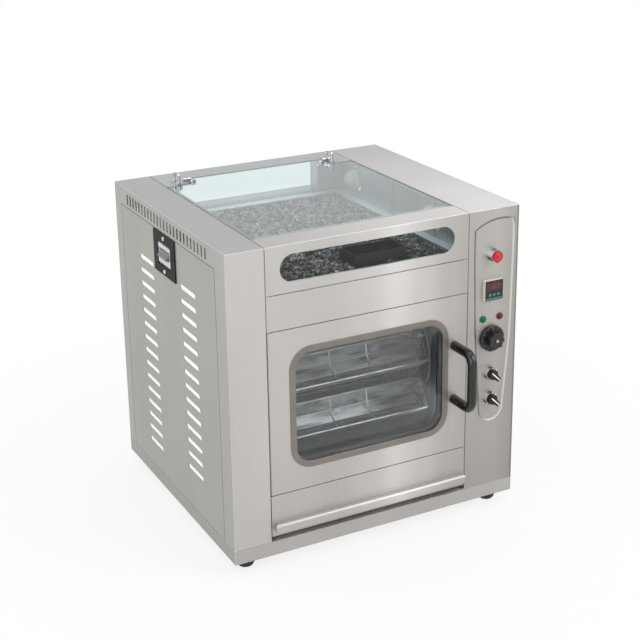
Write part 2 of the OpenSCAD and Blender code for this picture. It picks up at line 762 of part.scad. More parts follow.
// A strip of even width along an open line, with mitred corners
function unit(v) = v / norm(v);
function beside(line, i, d) =
    let (last = len(line) - 1, u = unit(line[min(i + 1, last)] - line[min(i, last - 1)]),
         v = unit(line[max(i, 1)] - line[max(i - 1, 0)]), m = unit(u + v))
    line[i] + [-m[1], m[0]] * d / (m * u);

module strip(line, t) polygon(concat(
    [for (i = [0:len(line) - 1]) beside(line, i, t / 2)],
    [for (i = [len(line) - 1:-1:0]) beside(line, i, -t / 2)]));

module tray(i) color("#a3a8aa") in_case() translate([0, pin_at(i)[0], pin_at(i)[1]]) difference() {
    union() {
        sideways(tray_x[0], tray_x[1] - tray_x[0]) {
            strip(trough, tray_wall);
            for (p = [trough[0], trough[len(trough) - 1]]) translate(p) circle(2.4, $fn = 32);
        }
        for (n = [1:ribs]) sideways(tray_x[0] + (n - 0.15) / (ribs + 1.15) * (tray_x[1] - tray_x[0]), rib_w)
            strip(trough, 2.6 * tray_wall);
        for (x = [tray_x[0], tray_x[1] - tray_wall]) sideways(x, tray_wall) {
            polygon(concat(trough, [[-9, 7], [9, 7]]));
            circle(11);
        }
        for (x = [[tray_x[0], tray_x[0] + 6], [tray_x[1] - 6, tray_x[1]]]) bar_x(x, 0, 0, 8);
    }
    bar_x([tray_x[0] - eps, tray_x[1] + eps], 0, 0, tray_pin_r + run);
}

module tray_1() tray(0);
module tray_2() tray(1);
module tray_3() tray(2);
module tray_4() tray(3);
module tray_5() tray(4);
module tray_6() tray(5);

// --------------------------------------------------------------------- door

bracket_w = 24;

// Angle brackets with the two pins that the door turns on
module door_hinge_brackets() color("#a9a9a9") in_case() {
    x = [door_x[0], door_x[0] + bracket_w];
    slab(x, [2, frame_y], [door_z - seam / 2 - sheet, door_z - seam / 2]);
    slab(x, [frame_y - sheet, frame_y], [deck_z + sheet, door_z - seam / 2]);
    translate([door_axis[0], door_axis[1], door_z - seam / 2 - eps]) cylinder(h = pin_block, r = door_pin_r);
    slab(x, [2 * sheet + air, frame_y], [blank_z + seam / 2, blank_z + seam / 2 + sheet]);
    slab(x, [frame_y - sheet, frame_y], [blank_z + seam / 2, oven_z[1] + blanket_t]);
    translate([door_axis[0], door_axis[1], blank_z + seam / 2 + eps - pin_block])
        cylinder(h = pin_block, r = door_pin_r);
}

module door_seal() color("#8a8378") in_case() facing(frame_y - seal_t, seal_t)
    translate([centre_x, mouth_z + mouth_h / 2]) difference() {
        rounded(mouth_w + 22, mouth_h + 22, 12);
        rounded(mouth_w + 4, mouth_h + 4, 3);
    }

// Plan of the door at a distance d inside its outer faces, with the round hinge edge
module door_plan(d) {
    translate([door_x[0] + d, door_edge_r])
        square([door_x[1] - door_x[0] - 2 * d, door_t - door_edge_r]);
    translate([door_axis[0], d]) square([door_x[1] - door_axis[0] - d, door_t - d]);
    translate(door_axis) circle(door_edge_r - d);
}

module door_skin() color("#c2bfbb") in_case() difference() {
    union() {
        difference() {
            translate([0, 0, door_zs[0]]) linear_extrude(door_zs[1] - door_zs[0]) door_plan(0);
            translate([0, 0, door_zs[0] + sheet]) linear_extrude(door_zs[1] - door_zs[0] - 2 * sheet)
                door_plan(sheet);
            slab([door_x[0] + 2 * sheet, door_x[1] - 2 * sheet], [door_t - eps, door_t + eps],
                [door_zs[0] + 2 * sheet, door_zs[1] - 2 * sheet]);
        }
        for (z = [door_zs[0], door_zs[1] - pin_block]) translate([0, 0, z])
            intersection() {
                linear_extrude(pin_block) door_plan(0);
                translate([door_x[0], 0, 0]) cube([2 * door_edge_r + 2, 2 * door_edge_r + 2, pin_block]);
            }
    }
    facing(-eps, sheet + 2 * eps) translate(rim_c)
        rounded(rim_len - rim_w, rim_h - rim_w, rim_r - rim_w / 2);
    for (z = [door_zs[0] - eps, door_zs[1] - pin_block - eps])
        translate([door_axis[0], door_axis[1], z]) cylinder(h = pin_block + 2 * eps, r = door_pin_r + run);
}

// Inner pan of the door, which closes the back and holds the inner pane
module door_inner() color("#a5a8a8") in_case() facing(door_t - sheet, sheet) difference() {
    translate([door_x[0] + sheet + 14, door_zs[0] + sheet])
        square([door_x[1] - door_x[0] - 2 * sheet - 14, door_zs[1] - door_zs[0] - 2 * sheet]);
    translate(rim_c) rounded(rim_len - 2 * rim_w, rim_h - 2 * rim_w, rim_r - rim_w);
}

module door_glass() color("#bfe0e0", 0.35) in_case() {
    facing(sheet, pane_t) translate(rim_c) rounded(rim_len, rim_h, rim_r);
    facing(door_t - sheet - pane_t, pane_t) translate(rim_c)
        rounded(rim_len - 2 * rim_w + 2 * pane_lap, rim_h - 2 * rim_w + 2 * pane_lap, rim_r - rim_w + pane_lap);
}

module window_rim() color("#8e8a82") in_case() {
    facing(-rim_proud, rim_proud) translate(rim_c) difference() {
        rounded(rim_len, rim_h, rim_r);
        rounded(rim_len - 2 * rim_w, rim_h - 2 * rim_w, rim_r - rim_w);
    }
    facing(-rim_proud / 2, sheet + rim_proud / 2) translate(rim_c) difference() {
        rounded(rim_len - rim_w, rim_h - rim_w, rim_r - rim_w / 2);
        rounded(rim_len - 2 * rim_w, rim_h - 2 * rim_w, rim_r - rim_w);
    }
}

// Bent tube handle with two legs, two elbows and an upright grip
module door_handle() color("#1f1f21") in_case() translate([handle_x, 0, 0]) {
    for (z = [handle_z, handle_z + handle_span]) bar_y(0, [handle_bend - handle_out, 0], z, handle_r);
    translate([0, -handle_out, handle_z + handle_bend])
        cylinder(h = handle_span - 2 * handle_bend, r = handle_r);
    for (s = [0, 1])
        translate([0, handle_bend - handle_out, handle_z + (s == 0 ? handle_bend : handle_span - handle_bend)])
            rotate([0, 90, 0]) rotate([0, 0, s == 0 ? -90 : 180])
                rotate_extrude(angle = 90) translate([handle_bend, 0]) circle(handle_r);
}

// ------------------------------------------------------------------- drawer

drawer_x = [left_w + 10, column_x - 10];
box_z = drawer_z + 5;
runner_z = box_z + drawer_h - sheet - air;

// Section of the pull lip in Y and Z, grown inwards by d
module lip_section(d) {
    h = lip_h - d;
    translate([d - lip_out, -lip_h]) square([lip_out - d, lip_h + h - lip_r + d]);
    translate([lip_r - lip_out, 0]) square([lip_out - lip_r, h]);
    translate([lip_r - lip_out, lip_h - lip_r]) circle(lip_r - d);
}

// Outline of the pull lip seen from the front, with round ends
module lip_front(d, low) {
    w = panel_x[1] - panel_x[0] - 6 - 2 * d;
    translate([centre_x, lip_h / 2]) rounded(w, lip_h - 2 * d, lip_r - d);
    translate([centre_x - w / 2 + lip_r, -low]) square([w - 2 * lip_r, low + lip_h / 2]);
}

module pull_lip() translate([0, 0, drawer_z + lip_lift]) difference() {
    intersection() {
        sideways(0, case_w) intersection() {
            lip_section(0);
            translate([-lip_out, 0]) square([lip_out, lip_h]);
        }
        facing(-lip_out, lip_out) lip_front(0, 0);
    }
    intersection() {
        sideways(0, case_w) lip_section(sheet);
        facing(-lip_out, lip_out + eps) lip_front(sheet, lip_h / 2);
    }
}

module drawer() color("#bcb9b5") in_case() {
    slab(panel_x, [0, sheet], [drawer_z, door_z - seam / 2]);
    pull_lip();
    difference() {
        slab(drawer_x, [sheet / 2, drawer_d], [box_z, box_z + drawer_h]);
        slab([drawer_x[0] + sheet, drawer_x[1] - sheet], [sheet, drawer_d - sheet],
            [box_z + sheet, box_z + drawer_h + eps]);
    }
    for (x = [[drawer_x[0] - 7, drawer_x[0] + eps], [drawer_x[1] - eps, drawer_x[1] + 7]])
        slab(x, [sheet / 2, drawer_d], [box_z + drawer_h - sheet, box_z + drawer_h]);
}

module drawer_runners() color("#a5a5a5") in_case() {
    leg = 9;
    for (s = [0, 1]) {
        wall = s == 0 ? [left_w, left_w + sheet] : [column_x - sheet, column_x];
        shelf = s == 0 ? [left_w, left_w + leg] : [column_x - leg, column_x];
        slab(wall, [2 * sheet + 1, case_d - 3 * sheet], [runner_z - 24, runner_z]);
        slab(shelf, [2 * sheet + 1, case_d - 3 * sheet], [runner_z - sheet, runner_z]);
    }
}

// ------------------------------------------------------------------ breaker

module breaker_escutcheon() color("#232427") in_case() sideways(-2.5, 2.5) translate([breaker_y, breaker_z])
    difference() {
        rounded(plate_bw, plate_bh, 2);
        square([breaker_w + 2 * air, window_bh], center = true);
    }

lever_z = breaker_z + 2;
lever_x = 5;
lever_w = 50;
lever_out = 15;

module breaker_body() color("#b9bbbb") in_case() difference() {
    union() {
        slab([2 * sheet + air, 62], [breaker_y - breaker_w / 2, breaker_y + breaker_w / 2],
            [breaker_z - breaker_h / 2, breaker_z + breaker_h / 2]);
        slab([-nose_out, 2 * sheet + eps], [breaker_y - breaker_w / 2, breaker_y + breaker_w / 2],
            [breaker_z - nose_h / 2, breaker_z + nose_h / 2]);
    }
    bar_y(lever_x, [breaker_y - lever_w / 2 - air, breaker_y + lever_w / 2 + air], lever_z, 8 + air);
    slab([-5, lever_x], [breaker_y - lever_w / 2 - air, breaker_y + lever_w / 2 + air],
        [lever_z - 10, lever_z + 10]);
}

// Toggle bar, at rest turned down
module breaker_lever() color("#2c2d30") in_case() translate([lever_x, 0, lever_z]) rotate([0, -28, 0]) {
    bar_y(0, [breaker_y - lever_w / 2, breaker_y + lever_w / 2], 0, 8);
    slab([-lever_out, 0], [breaker_y - lever_w / 2, breaker_y + lever_w / 2], [-2.5, 2.5]);
}

// ----------------------------------------------------------------- controls

floor_y = sheet;            // face of the pressed field

module button_collar() color("#d0d0d0") in_case() difference() {
    union() {
        bar_y(control_x, [floor_y - 18, floor_y], button_z, collar_r);
        bar_y(control_x, [floor_y - eps, thread_end], button_z, thread_r);
    }
    bar_y(control_x, [floor_y - 18 - eps, floor_y - 3], button_z, collar_r - 2);
}

module button_lens() color("#c81e24") in_case() {
    r = collar_r - 2 - air;
    bar_y(control_x, [floor_y - 21, floor_y - 3 - button_travel - air], button_z, r);
    intersection() {
        translate([control_x, floor_y - 21 + r, button_z]) sphere(1.2 * r);
        bar_y(control_x, [floor_y - 27, floor_y - 20], button_z, r);
    }
}

function key_x(i) = control_x + (i - 2) * keys_pitch;
key_z = meter_z - meter_w / 2 + 14;

module meter_case() color("#ded9c6") in_case() difference() {
    union() {
        facing(floor_y - meter_out, meter_out) translate([control_x, meter_z]) rounded(meter_w, meter_w, 1.5);
        slab([control_x - meter_w / 2 + 1.5 + air, control_x + meter_w / 2 - 1.5 - air], [floor_y - eps, meter_depth],
            [meter_z - meter_w / 2 + 1.5 + air, meter_z + meter_w / 2 - 1.5 - air]);
    }
    for (i = [1:3])
        bar_y(key_x(i), [floor_y - meter_out - eps, floor_y - meter_out + 4.5], key_z, key_r + air);
}

module meter_key(i) color("#5a5f60") in_case()
    bar_y(key_x(i), [floor_y - meter_out - 1, floor_y - meter_out + 3], key_z, key_r);

module meter_key_1() meter_key(1);
module meter_key_2() meter_key(2);
module meter_key_3() meter_key(3);

module indicator(side) {
    x = control_x + side * lamps_pitch / 2;
    bar_y(x, [floor_y - 2, floor_y], lamps_z, lamp_r);
    bar_y(x, [floor_y - eps, 24], lamps_z, lamp_r - 2);
    intersection() {
        translate([x, floor_y - 2 + 0.75 * lamp_r, lamps_z]) sphere(lamp_r * 1.06);
        bar_y(x, [floor_y - lamp_r, floor_y - 1], lamps_z, 0.76 * lamp_r);
    }
}

module indicator_green() color("#2f8f5c") in_case() indicator(-1);
module indicator_red() color("#8c2027") in_case() indicator(1);

module timer_body() color("#33363a") in_case() difference() {
    slab([control_x - 25, control_x + 25], [2 * sheet, 46], [dial_z - 25, dial_z + 25]);
    bar_y(control_x, [sheet, spindle_end + 2], dial_z, 3 + run);
}

// Skirted knob with a lobed grip, on the spindle of the timer
module dial_knob() color("#202022") in_case() {
    y0 = floor_y - air;
    bar_y(control_x, [y0 - 8, y0], dial_z, dial_r);
    bar_y(control_x, [y0 - 26, y0 - 7], dial_z, 17);
    for (a = [0:360 / 7:359])
        bar_y(control_x + 14.5 * cos(a), [y0 - 26, y0 - 7], dial_z + 14.5 * sin(a), 5.6);
    bar_y(control_x, [y0 - 27, y0 - 25], dial_z, 6);
    bar_y(control_x, [y0 - eps, spindle_end], dial_z, 3);
}

module selector_bezels() color("#d0d0d0") in_case() for (z = selector_z) difference() {
    union() {
        bar_y(control_x, [floor_y - 11, floor_y], z, bezel_r);
        bar_y(control_x, [floor_y - eps, thread_end], z, thread_r);
    }
    bar_y(control_x, [floor_y - 12, floor_y - 3], z, bezel_r - 3);
}

// Head with a tapered lever that points down to the right at rest
module selector(z) translate([control_x, floor_y - 3 - air, z]) {
    r = bezel_r - 3 - air;
    bar_y(0, [-15, 0], 0, r);
    rotate([0, 45, 0]) facing(-21, 9) {
        circle(7);
        polygon([[0, -7], [0, 7], [20, 4], [20, -4]]);
        translate([20, 0]) circle(4);
    }
}

module selector_upper() color("#202022") in_case() selector(selector_z[0]);
module selector_lower() color("#202022") in_case() selector(selector_z[1]);

base_pan();
feet();
left_casing();
left_cover();
right_casing();
right_cover();
insulation();
rear_panel();
cable_gland();
front_fascia();
fascia_glass();
blank_panel();
rear_frame();
rear_glass();
warming_tub();
stones();
stone_box();
lamp_holders();
lamp_globes();
lid_glass();
lid_clamps();
lid_hinge_bases();
oven_deck();
oven_liner();
heaters();
shaft_bushes();
gear_motor();
rack_shaft();
rack_discs();
tray_1();
tray_2();
tray_3();
tray_4();
tray_5();
tray_6();
door_hinge_brackets();
door_seal();
door_skin();
door_inner();
door_glass();
window_rim();
door_handle();
drawer();
drawer_runners();
breaker_escutcheon();
breaker_body();
breaker_lever();
button_collar();
button_lens();
meter_case();
meter_key_1();
meter_key_2();
meter_key_3();
indicator_green();
indicator_red();
timer_body();
dial_knob();
selector_bezels();
selector_upper();
selector_lower();
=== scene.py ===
import math
import random

import bmesh
import bpy
from mathutils import Matrix, Vector, noise


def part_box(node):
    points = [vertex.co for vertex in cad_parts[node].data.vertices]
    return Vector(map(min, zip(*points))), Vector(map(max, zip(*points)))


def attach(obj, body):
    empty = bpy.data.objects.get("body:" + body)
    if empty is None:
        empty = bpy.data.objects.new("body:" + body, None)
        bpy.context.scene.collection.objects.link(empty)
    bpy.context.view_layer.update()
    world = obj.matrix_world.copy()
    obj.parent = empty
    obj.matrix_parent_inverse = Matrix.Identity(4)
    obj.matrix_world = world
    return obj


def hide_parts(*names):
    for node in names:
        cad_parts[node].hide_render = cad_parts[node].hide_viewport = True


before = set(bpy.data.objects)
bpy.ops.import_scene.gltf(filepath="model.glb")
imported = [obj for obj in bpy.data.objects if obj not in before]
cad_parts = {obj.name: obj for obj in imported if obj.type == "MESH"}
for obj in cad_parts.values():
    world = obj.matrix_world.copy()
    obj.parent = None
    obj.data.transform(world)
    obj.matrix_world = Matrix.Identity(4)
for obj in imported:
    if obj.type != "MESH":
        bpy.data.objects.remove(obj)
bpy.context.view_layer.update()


# Feet: four domed rubber feet, moulded black nitrile rubber, screwed up through
# the floor of the base pan. Rubber is nearly matt, with a fine moulded grain.
def hue(code):
    """Linear RGBA of an sRGB hex colour."""
    parts = [int(code[i:i + 2], 16) / 255 for i in (1, 3, 5)]
    return [p / 12.92 if p <= 0.04045 else ((p + 0.055) / 1.055) ** 2.4 for p in parts] + [1]


def add(owner, kind, sockets=None, **settings):
    """Adds a node, sets its settings, and sets or links the sockets named."""
    made = owner.node_tree.nodes.new("ShaderNode" + kind)
    for key, value in settings.items():
        setattr(made, key, value)
    for key, value in (sockets or {}).items():
        if isinstance(value, bpy.types.NodeSocket):
            owner.node_tree.links.new(value, made.inputs[key])
        else:
            made.inputs[key].default_value = value
    return made


def blank_material(name):
    """A new material that has no nodes yet."""
    material = bpy.data.materials.new(name)
    material.use_nodes = True
    material.node_tree.nodes.clear()
    return material


def edge_band(material, soft):
    """How near an edge a point lies, 0 to 1: where the rounded normal leaves the face's own. It carries worn colours,
    and on the cabinet's sheets painted highlights at outer corners and painted shade at seams.
    """
    flat = add(material, "NewGeometry").outputs["Normal"]
    bend = add(material, "VectorMath", {0: flat, 1: soft}, operation="DOT_PRODUCT").outputs["Value"]
    return add(material, "MapRange", {"Value": bend, "From Min": 0.99, "From Max": 0.78}).outputs[0]


RUBBED_SMOOTH = 0.4     # share of its roughness that a rubbed edge keeps


def surface(name, color, second, roughness, patch=30, stretch=(1, 1, 1), swirl=0.0, grain=1.0, depth=0.05,
            edge=0.5, worn=None, limits=(0.34, 0.66), **sockets):
    """A finish in two colours: soft patches and a fine relief, sizes in mm. Limits are the span of the noise over
    which the colours change. Edges are rounded, and where a worn colour is given the edges take it and grow smoother."""
    material = blank_material(name)
    place = add(material, "TexCoord").outputs["Object"]
    broad = add(material, "Mapping", {"Vector": place, "Scale": [1000 / patch / s for s in stretch]}).outputs[0]
    cloud = add(material, "TexNoise", {"Vector": broad, "Scale": 1.0, "Detail": 4.0, "Distortion": swirl}).outputs[0]
    amount = add(material, "MapRange", {"Value": cloud, "From Min": limits[0], "From Max": limits[1]}).outputs[0]
    tint = add(material, "Mix", {0: amount, 6: hue(color), 7: hue(second)}, data_type="RGBA").outputs[2]
    fine = add(material, "Mapping", {"Vector": place, "Scale": [1000 / grain / s for s in stretch]}).outputs[0]
    pits = add(material, "TexNoise", {"Vector": fine, "Scale": 1.0, "Detail": 3.0}).outputs[0]
    soft = add(material, "Bevel", {"Radius": edge / 1000}, samples=4).outputs[0]
    if worn:
        edge_wear_and_light = edge_band(material, soft)
        tint = add(material, "Mix", {0: edge_wear_and_light, 6: tint, 7: hue(worn)}, data_type="RGBA").outputs[2]
        roughness = add(material, "MapRange", {"Value": edge_wear_and_light, "To Min": roughness,
                                               "To Max": RUBBED_SMOOTH * roughness}).outputs[0]
    bump = add(material, "Bump", {"Height": pits, "Distance": depth / 1000, "Normal": soft}).outputs[0]
    values = {"Base Color": tint, "Roughness": roughness, "Normal": bump}
    values.update({key.replace("_", " "): value for key, value in sockets.items()})
    shader = add(material, "BsdfPrincipled", values).outputs[0]
    add(material, "OutputMaterial", {"Surface": shader})
    return material


def dress(material, *names):
    """Gives CAD nodes a material."""
    for name in names:
        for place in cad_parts[name].material_slots:
            place.material = material


dress(surface("moulded_nitrile_rubber", "#242424", "#1e1e1e", 0.62, grain=0.8, depth=0.1), "feet")

# Cabinet: folded sheets of stainless steel, belt-polished upright to a satin finish, with a fine grain that is
# drawn 2 mm wide so that it shows. The sheets are not quite flat, so their tone waves softly at random. Over this
# lie painted reflection bands across the front, light from the left to the middle and darker to the right; painted
# light and shade on tops and sides; painted shade towards the foot; and on the edges a painted highlight at the
# cabinet's outer corners and painted shade at its seams.
GRAIN, GRAIN_LENGTH, GRAIN_SHADE, GRAIN_DEPTH = 2.0, 140.0, 0.96, 0.00002
WAVE, WAVE_LENGTH, WAVE_SHADE = 170.0, 420.0, 0.93
NOISE_SPAN, TURN_SPAN = {"From Min": 0.3, "From Max": 0.7}, {"From Min": 0.4, "From Max": 0.9}
OUTER_LEFT, OUTER_FRONT, OUTER_TOP, SHADED_HEIGHT = -0.350, -0.281, 0.7245, 0.7
FRONT_LIGHT_BANDS = ((-270, "#c6c3c0"), (-130, "#c6c3c0"), (-20, "#d0cdca"), (40, "#dedbd8"), (110, "#d1ceca"),
         (180, "#bfbbb6"), (225, "#b8b4af"), (240, "#b3afaa"), (355, "#aaa6a1"))
RIGHT_LIGHT_BANDS = ((240, "#b8b4af"), (300, "#bab6b1"), (348, "#aeaaa5"), (353, "#8a8681"))
SEAM_SHADE = ("#8b8783", "#8b8783")


def own_normal(material, kind):
    """X, Y and Z of a face's normal in the piece's own axes, so that the finish moves with the piece."""
    turned = add(material, "VectorTransform", {0: add(material, "NewGeometry").outputs[kind]},
                 vector_type="NORMAL", convert_from="WORLD", convert_to="OBJECT").outputs[0]
    return add(material, "SeparateXYZ", {0: turned}).outputs


def satin_sheet(name, front, side, top, roughness=0.4, metal=0.6, fold=2.0, edge_wear_and_light=("#8b8783", "#f2f1ef"),
                run=(0, -1, 0), span=(-0.3, 0.3), fall=0.93):
    """Belt-polished sheet. Front is a list of (x in mm, colour): painted light bands across the front. Side is the
    painted tone of faces turned sideways, and top is two painted tones of upward faces over a span along run. The pair
    of edge tones is painted shade at a seam and a painted highlight at an outer corner, and fall is the share of light
    left at the foot, a painted shade that darkens the sheet towards the bottom."""
    material = blank_material(name)
    place = add(material, "TexCoord").outputs["Object"]
    spot = add(material, "SeparateXYZ", {0: place}).outputs

    # Painted light: the front's tone changes across X in broad bands of painted reflection.
    start, width = front[0][0], max(front[-1][0] - front[0][0], 1)
    across = add(material, "MapRange", {"Value": spot["X"], "From Min": start / 1000,
                                        "From Max": (start + width) / 1000}).outputs[0]
    ramp = add(material, "ValToRGB", {0: across})
    ramp.color_ramp.interpolation = "EASE"
    stops = ramp.color_ramp.elements
    while len(stops) > 1:
        stops.remove(stops[-1])
    stops[0].position, stops[0].color = 0.0, hue(front[0][1])
    for x, code in front[1:]:
        stops.new((x - start) / width).color = hue(code)

    # Faces turned sideways or up take painted light and shade of their own.
    facing = own_normal(material, "Normal")
    sideways = add(material, "Math", {0: facing["X"]}, operation="ABSOLUTE").outputs[0]
    sideways = add(material, "MapRange", {"Value": sideways, **TURN_SPAN}).outputs[0]
    upward = add(material, "MapRange", {"Value": facing["Z"], **TURN_SPAN}).outputs[0]
    along = add(material, "VectorMath", {0: place, 1: run}, operation="DOT_PRODUCT").outputs["Value"]
    along = add(material, "MapRange", {"Value": along, "From Min": span[0], "From Max": span[1]}).outputs[0]
    cap = add(material, "Mix", {0: along, 6: hue(top[0]), 7: hue(top[1])}, data_type="RGBA").outputs[2]
    tint = add(material, "Mix", {0: sideways, 6: ramp.outputs[0], 7: hue(side)}, data_type="RGBA").outputs[2]
    tint = add(material, "Mix", {0: upward, 6: tint, 7: cap}, data_type="RGBA").outputs[2]

    slow = add(material, "Mapping", {"Vector": place, "Scale": (1000 / WAVE, 1000 / WAVE, 1000 / WAVE_LENGTH)})
    wave = add(material, "TexNoise", {"Vector": slow.outputs[0], "Scale": 1.0, "Detail": 1.0}).outputs[0]
    wave = add(material, "MapRange", {"Value": wave, **NOISE_SPAN, "To Min": WAVE_SHADE}).outputs[0]
    belt = add(material, "Mapping", {"Vector": place, "Scale": (1000 / GRAIN, 1000 / GRAIN, 1000 / GRAIN_LENGTH)})
    lines = add(material, "TexNoise", {"Vector": belt.outputs[0], "Scale": 1.0, "Detail": 3.0}).outputs[0]
    shade = add(material, "MapRange", {"Value": lines, **NOISE_SPAN, "To Min": GRAIN_SHADE}).outputs[0]
    # Painted shade: the sheet darkens towards its foot.
    height = add(material, "MapRange", {"Value": spot["Z"], "From Max": SHADED_HEIGHT, "To Min": fall}).outputs[0]
    shade = add(material, "Math", {0: wave, 1: shade}, operation="MULTIPLY").outputs[0]
    shade = add(material, "Math", {0: height, 1: shade}, operation="MULTIPLY").outputs[0]
    tint = add(material, "VectorMath", {0: tint, "Scale": shade}, operation="SCALE").outputs[0]

    # An outer corner lies at the limit of two of the cabinet's three sides: left, front and top.
    soft = add(material, "Bevel", {"Radius": fold / 1000}, samples=4).outputs[0]
    left = add(material, "Math", {0: spot["X"], 1: OUTER_LEFT}, operation="LESS_THAN").outputs[0]
    fore = add(material, "Math", {0: spot["Y"], 1: OUTER_FRONT}, operation="LESS_THAN").outputs[0]
    high = add(material, "Math", {0: spot["Z"], 1: OUTER_TOP}, operation="GREATER_THAN").outputs[0]
    outer = add(material, "Math", {0: left, 1: fore}, operation="ADD").outputs[0]
    outer = add(material, "Math", {0: outer, 1: high}, operation="ADD").outputs[0]
    outer = add(material, "Math", {0: outer, 1: 1.5}, operation="GREATER_THAN").outputs[0]
    # Edges take painted shade at a seam and a painted highlight at an outer corner.
    painted_edge_light = add(material, "Mix", {0: outer, 6: hue(edge_wear_and_light[0]), 7: hue(edge_wear_and_light[1])}, data_type="RGBA").outputs[2]
    tint = add(material, "Mix", {0: edge_band(material, soft), 6: tint, 7: painted_edge_light}, data_type="RGBA").outputs[2]

    rough = add(material, "MapRange", {"Value": lines, **NOISE_SPAN, "To Min": roughness - 0.05,
                                       "To Max": roughness + 0.06}).outputs[0]
    bump = add(material, "Bump", {"Height": lines, "Distance": GRAIN_DEPTH, "Strength": 0.5, "Normal": soft}).outputs[0]
    shader = add(material, "BsdfPrincipled", {"Base Color": tint, "Roughness": rough, "Metallic": metal,
                                              "Normal": bump}).outputs[0]
    add(material, "OutputMaterial", {"Surface": shader})
    return material


dress(satin_sheet("satin_stainless_left", ((0, "#c9c6c4"),), "#b2b1ab", ("#a09fa0", "#a09fa0"), fold=1.6,
                  edge_wear_and_light=("#6b625e", "#f2f1ef")), "left_casing")
dress(satin_sheet("satin_stainless_right", RIGHT_LIGHT_BANDS, "#b2b1ac", ("#b3b1b2", "#d6d4d5"), fold=1.6,
                  edge_wear_and_light=("#a5a19c", "#f2f1ef"), fall=0.79), "right_casing")
dress(satin_sheet("satin_stainless_fascia", FRONT_LIGHT_BANDS, "#bab7b3", ("#a5a3a3", "#d6d4d3"), run=(1, 0, 0),
                  fall=0.88), "front_fascia")
dress(satin_sheet("satin_stainless_front", FRONT_LIGHT_BANDS, "#bab7b3", ("#b5b3b2", "#b5b3b2"), fold=1.6, edge_wear_and_light=SEAM_SHADE,
                  fall=0.86), "blank_panel", "door_skin", "drawer")
# The side covers' edges take painted shade all round.
dress(satin_sheet("satin_stainless_side", ((0, "#adaca6"),), "#b0afa9", ("#b4b3af", "#b4b3af"), 0.44, fold=1.6,
                  edge_wear_and_light=("#85847e", "#85847e")), "left_cover", "right_cover")
# The base pan's top is painted near white: painted light on the strip seen in shade under the drawer.
dress(satin_sheet("satin_stainless_base", ((0, "#bdbab6"),), "#aaa9a4", ("#fbf9f6", "#fbf9f6"), 0.44),
      "base_pan", "rear_panel")
dress(satin_sheet("satin_stainless_rear", ((0, "#b3b0ad"),), "#b1b1af", ("#a3a7a9", "#a3a7a9"), 0.36,
                  fold=1.6), "rear_frame")

# Filling: a white blanket of needled ceramic fibre behind the slots and round the oven.
# The felt is matt and faintly lumpy, and a faint painted glow keeps it bright in the slots.
dress(surface("ceramic_fibre_blanket", "#fdfdfc", "#f6f6f4", 0.95, grain=9, depth=0.8, Sheen_Weight=0.3,
              Emission_Color=hue("#ffffff"), Emission_Strength=0.16),
      "insulation")

# Cable gland and timer housing: moulded black nylon, the gland held by its nut in the rear panel.
# Nylon has a satin skin with a faint moulded texture.
dress(surface("moulded_black_nylon", "#25262a", "#202124", 0.42, grain=0.6), "cable_gland", "timer_body")

# Rear screws: pan-head screws of zinc-plated steel that hold the rear panel and the rear frame.
# Each is turned, domed and slotted, and the driver has left the slots at all angles.
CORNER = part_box("base_pan")[0]
TO_BACK = Matrix(((-1, 0, 0, 0), (0, 0, 1, 0), (0, 1, 0, 0), (0, 0, 0, 1)))
REAR_Y, SCREW_COLUMNS, SCREW_ROWS, FRAME_SCREW_Z = 640.0, (98, 333, 569), (60, 300, 560), 640
REAR_SCREW, SLOT_STEP = (4.2, 2.2), 37


def at(x, y, z, facing=Matrix.Identity(4), turned=0.0):
    """Place on the cabinet: mm from its lower front left corner, and the way the piece faces."""
    return (Matrix.Translation(CORNER + Vector((x, y, z)) / 1000) @ facing
            @ Matrix.Rotation(math.radians(turned), 4, "Z"))


def join(form, part, place):
    """Adds one bmesh to another at a place, and frees it."""
    bmesh.ops.recalc_face_normals(part, faces=part.faces[:])
    mesh = bpy.data.meshes.new("part")
    part.to_mesh(mesh)
    part.free()
    mesh.transform(place)
    form.from_mesh(mesh)
    bpy.data.meshes.remove(mesh)


def turned_form(profile, steps=40):
    """A closed turned shape about Z; profile is (radius, height) in mm, from axis to axis."""
    part = bmesh.new()
    rings = []
    for radius, height in profile:
        angles = [2 * math.pi * k / steps for k in range(steps if radius > 0 else 1)]
        rings.append([part.verts.new(Vector((radius * math.cos(a), radius * math.sin(a), height)) / 1000)
                      for a in angles])
    for low, high in zip(rings, rings[1:]):
        for k in range(steps):
            n = (k + 1) % steps
            corners = [low[k % len(low)], low[n % len(low)], high[n % len(high)], high[k % len(high)]]
            unique = list(dict.fromkeys(corners))
            if len(unique) > 2:
                part.faces.new(unique)
    return part


def slotted_head(radius, height):
    """A domed screw head with a slot across it; it starts 0.3 mm below the sheet."""
    dome = [(math.cos(a), math.sin(a)) for a in (0.0, 0.35, 0.7, 1.0, 1.3)]
    profile = [(0, -0.3), (radius, -0.3)]
    profile += [(radius * (0.35 + 0.65 * c), height * (0.3 + 0.7 * s)) for c, s in dome]
    head = turned_form(profile + [(radius * 0.25, height), (0, height)], 32)
    half, slot_floor = radius * 0.2 / 1000, 0.0003 * height
    for offset in (-half, 0, half):
        bmesh.ops.bisect_plane(head, geom=head.verts[:] + head.edges[:] + head.faces[:],
                               plane_co=(0, offset, 0), plane_no=(0, 1, 0))
    for vert in head.verts:
        if abs(vert.co.y) < half * 0.5 and vert.co.z > slot_floor:
            vert.co.z = slot_floor
    return head


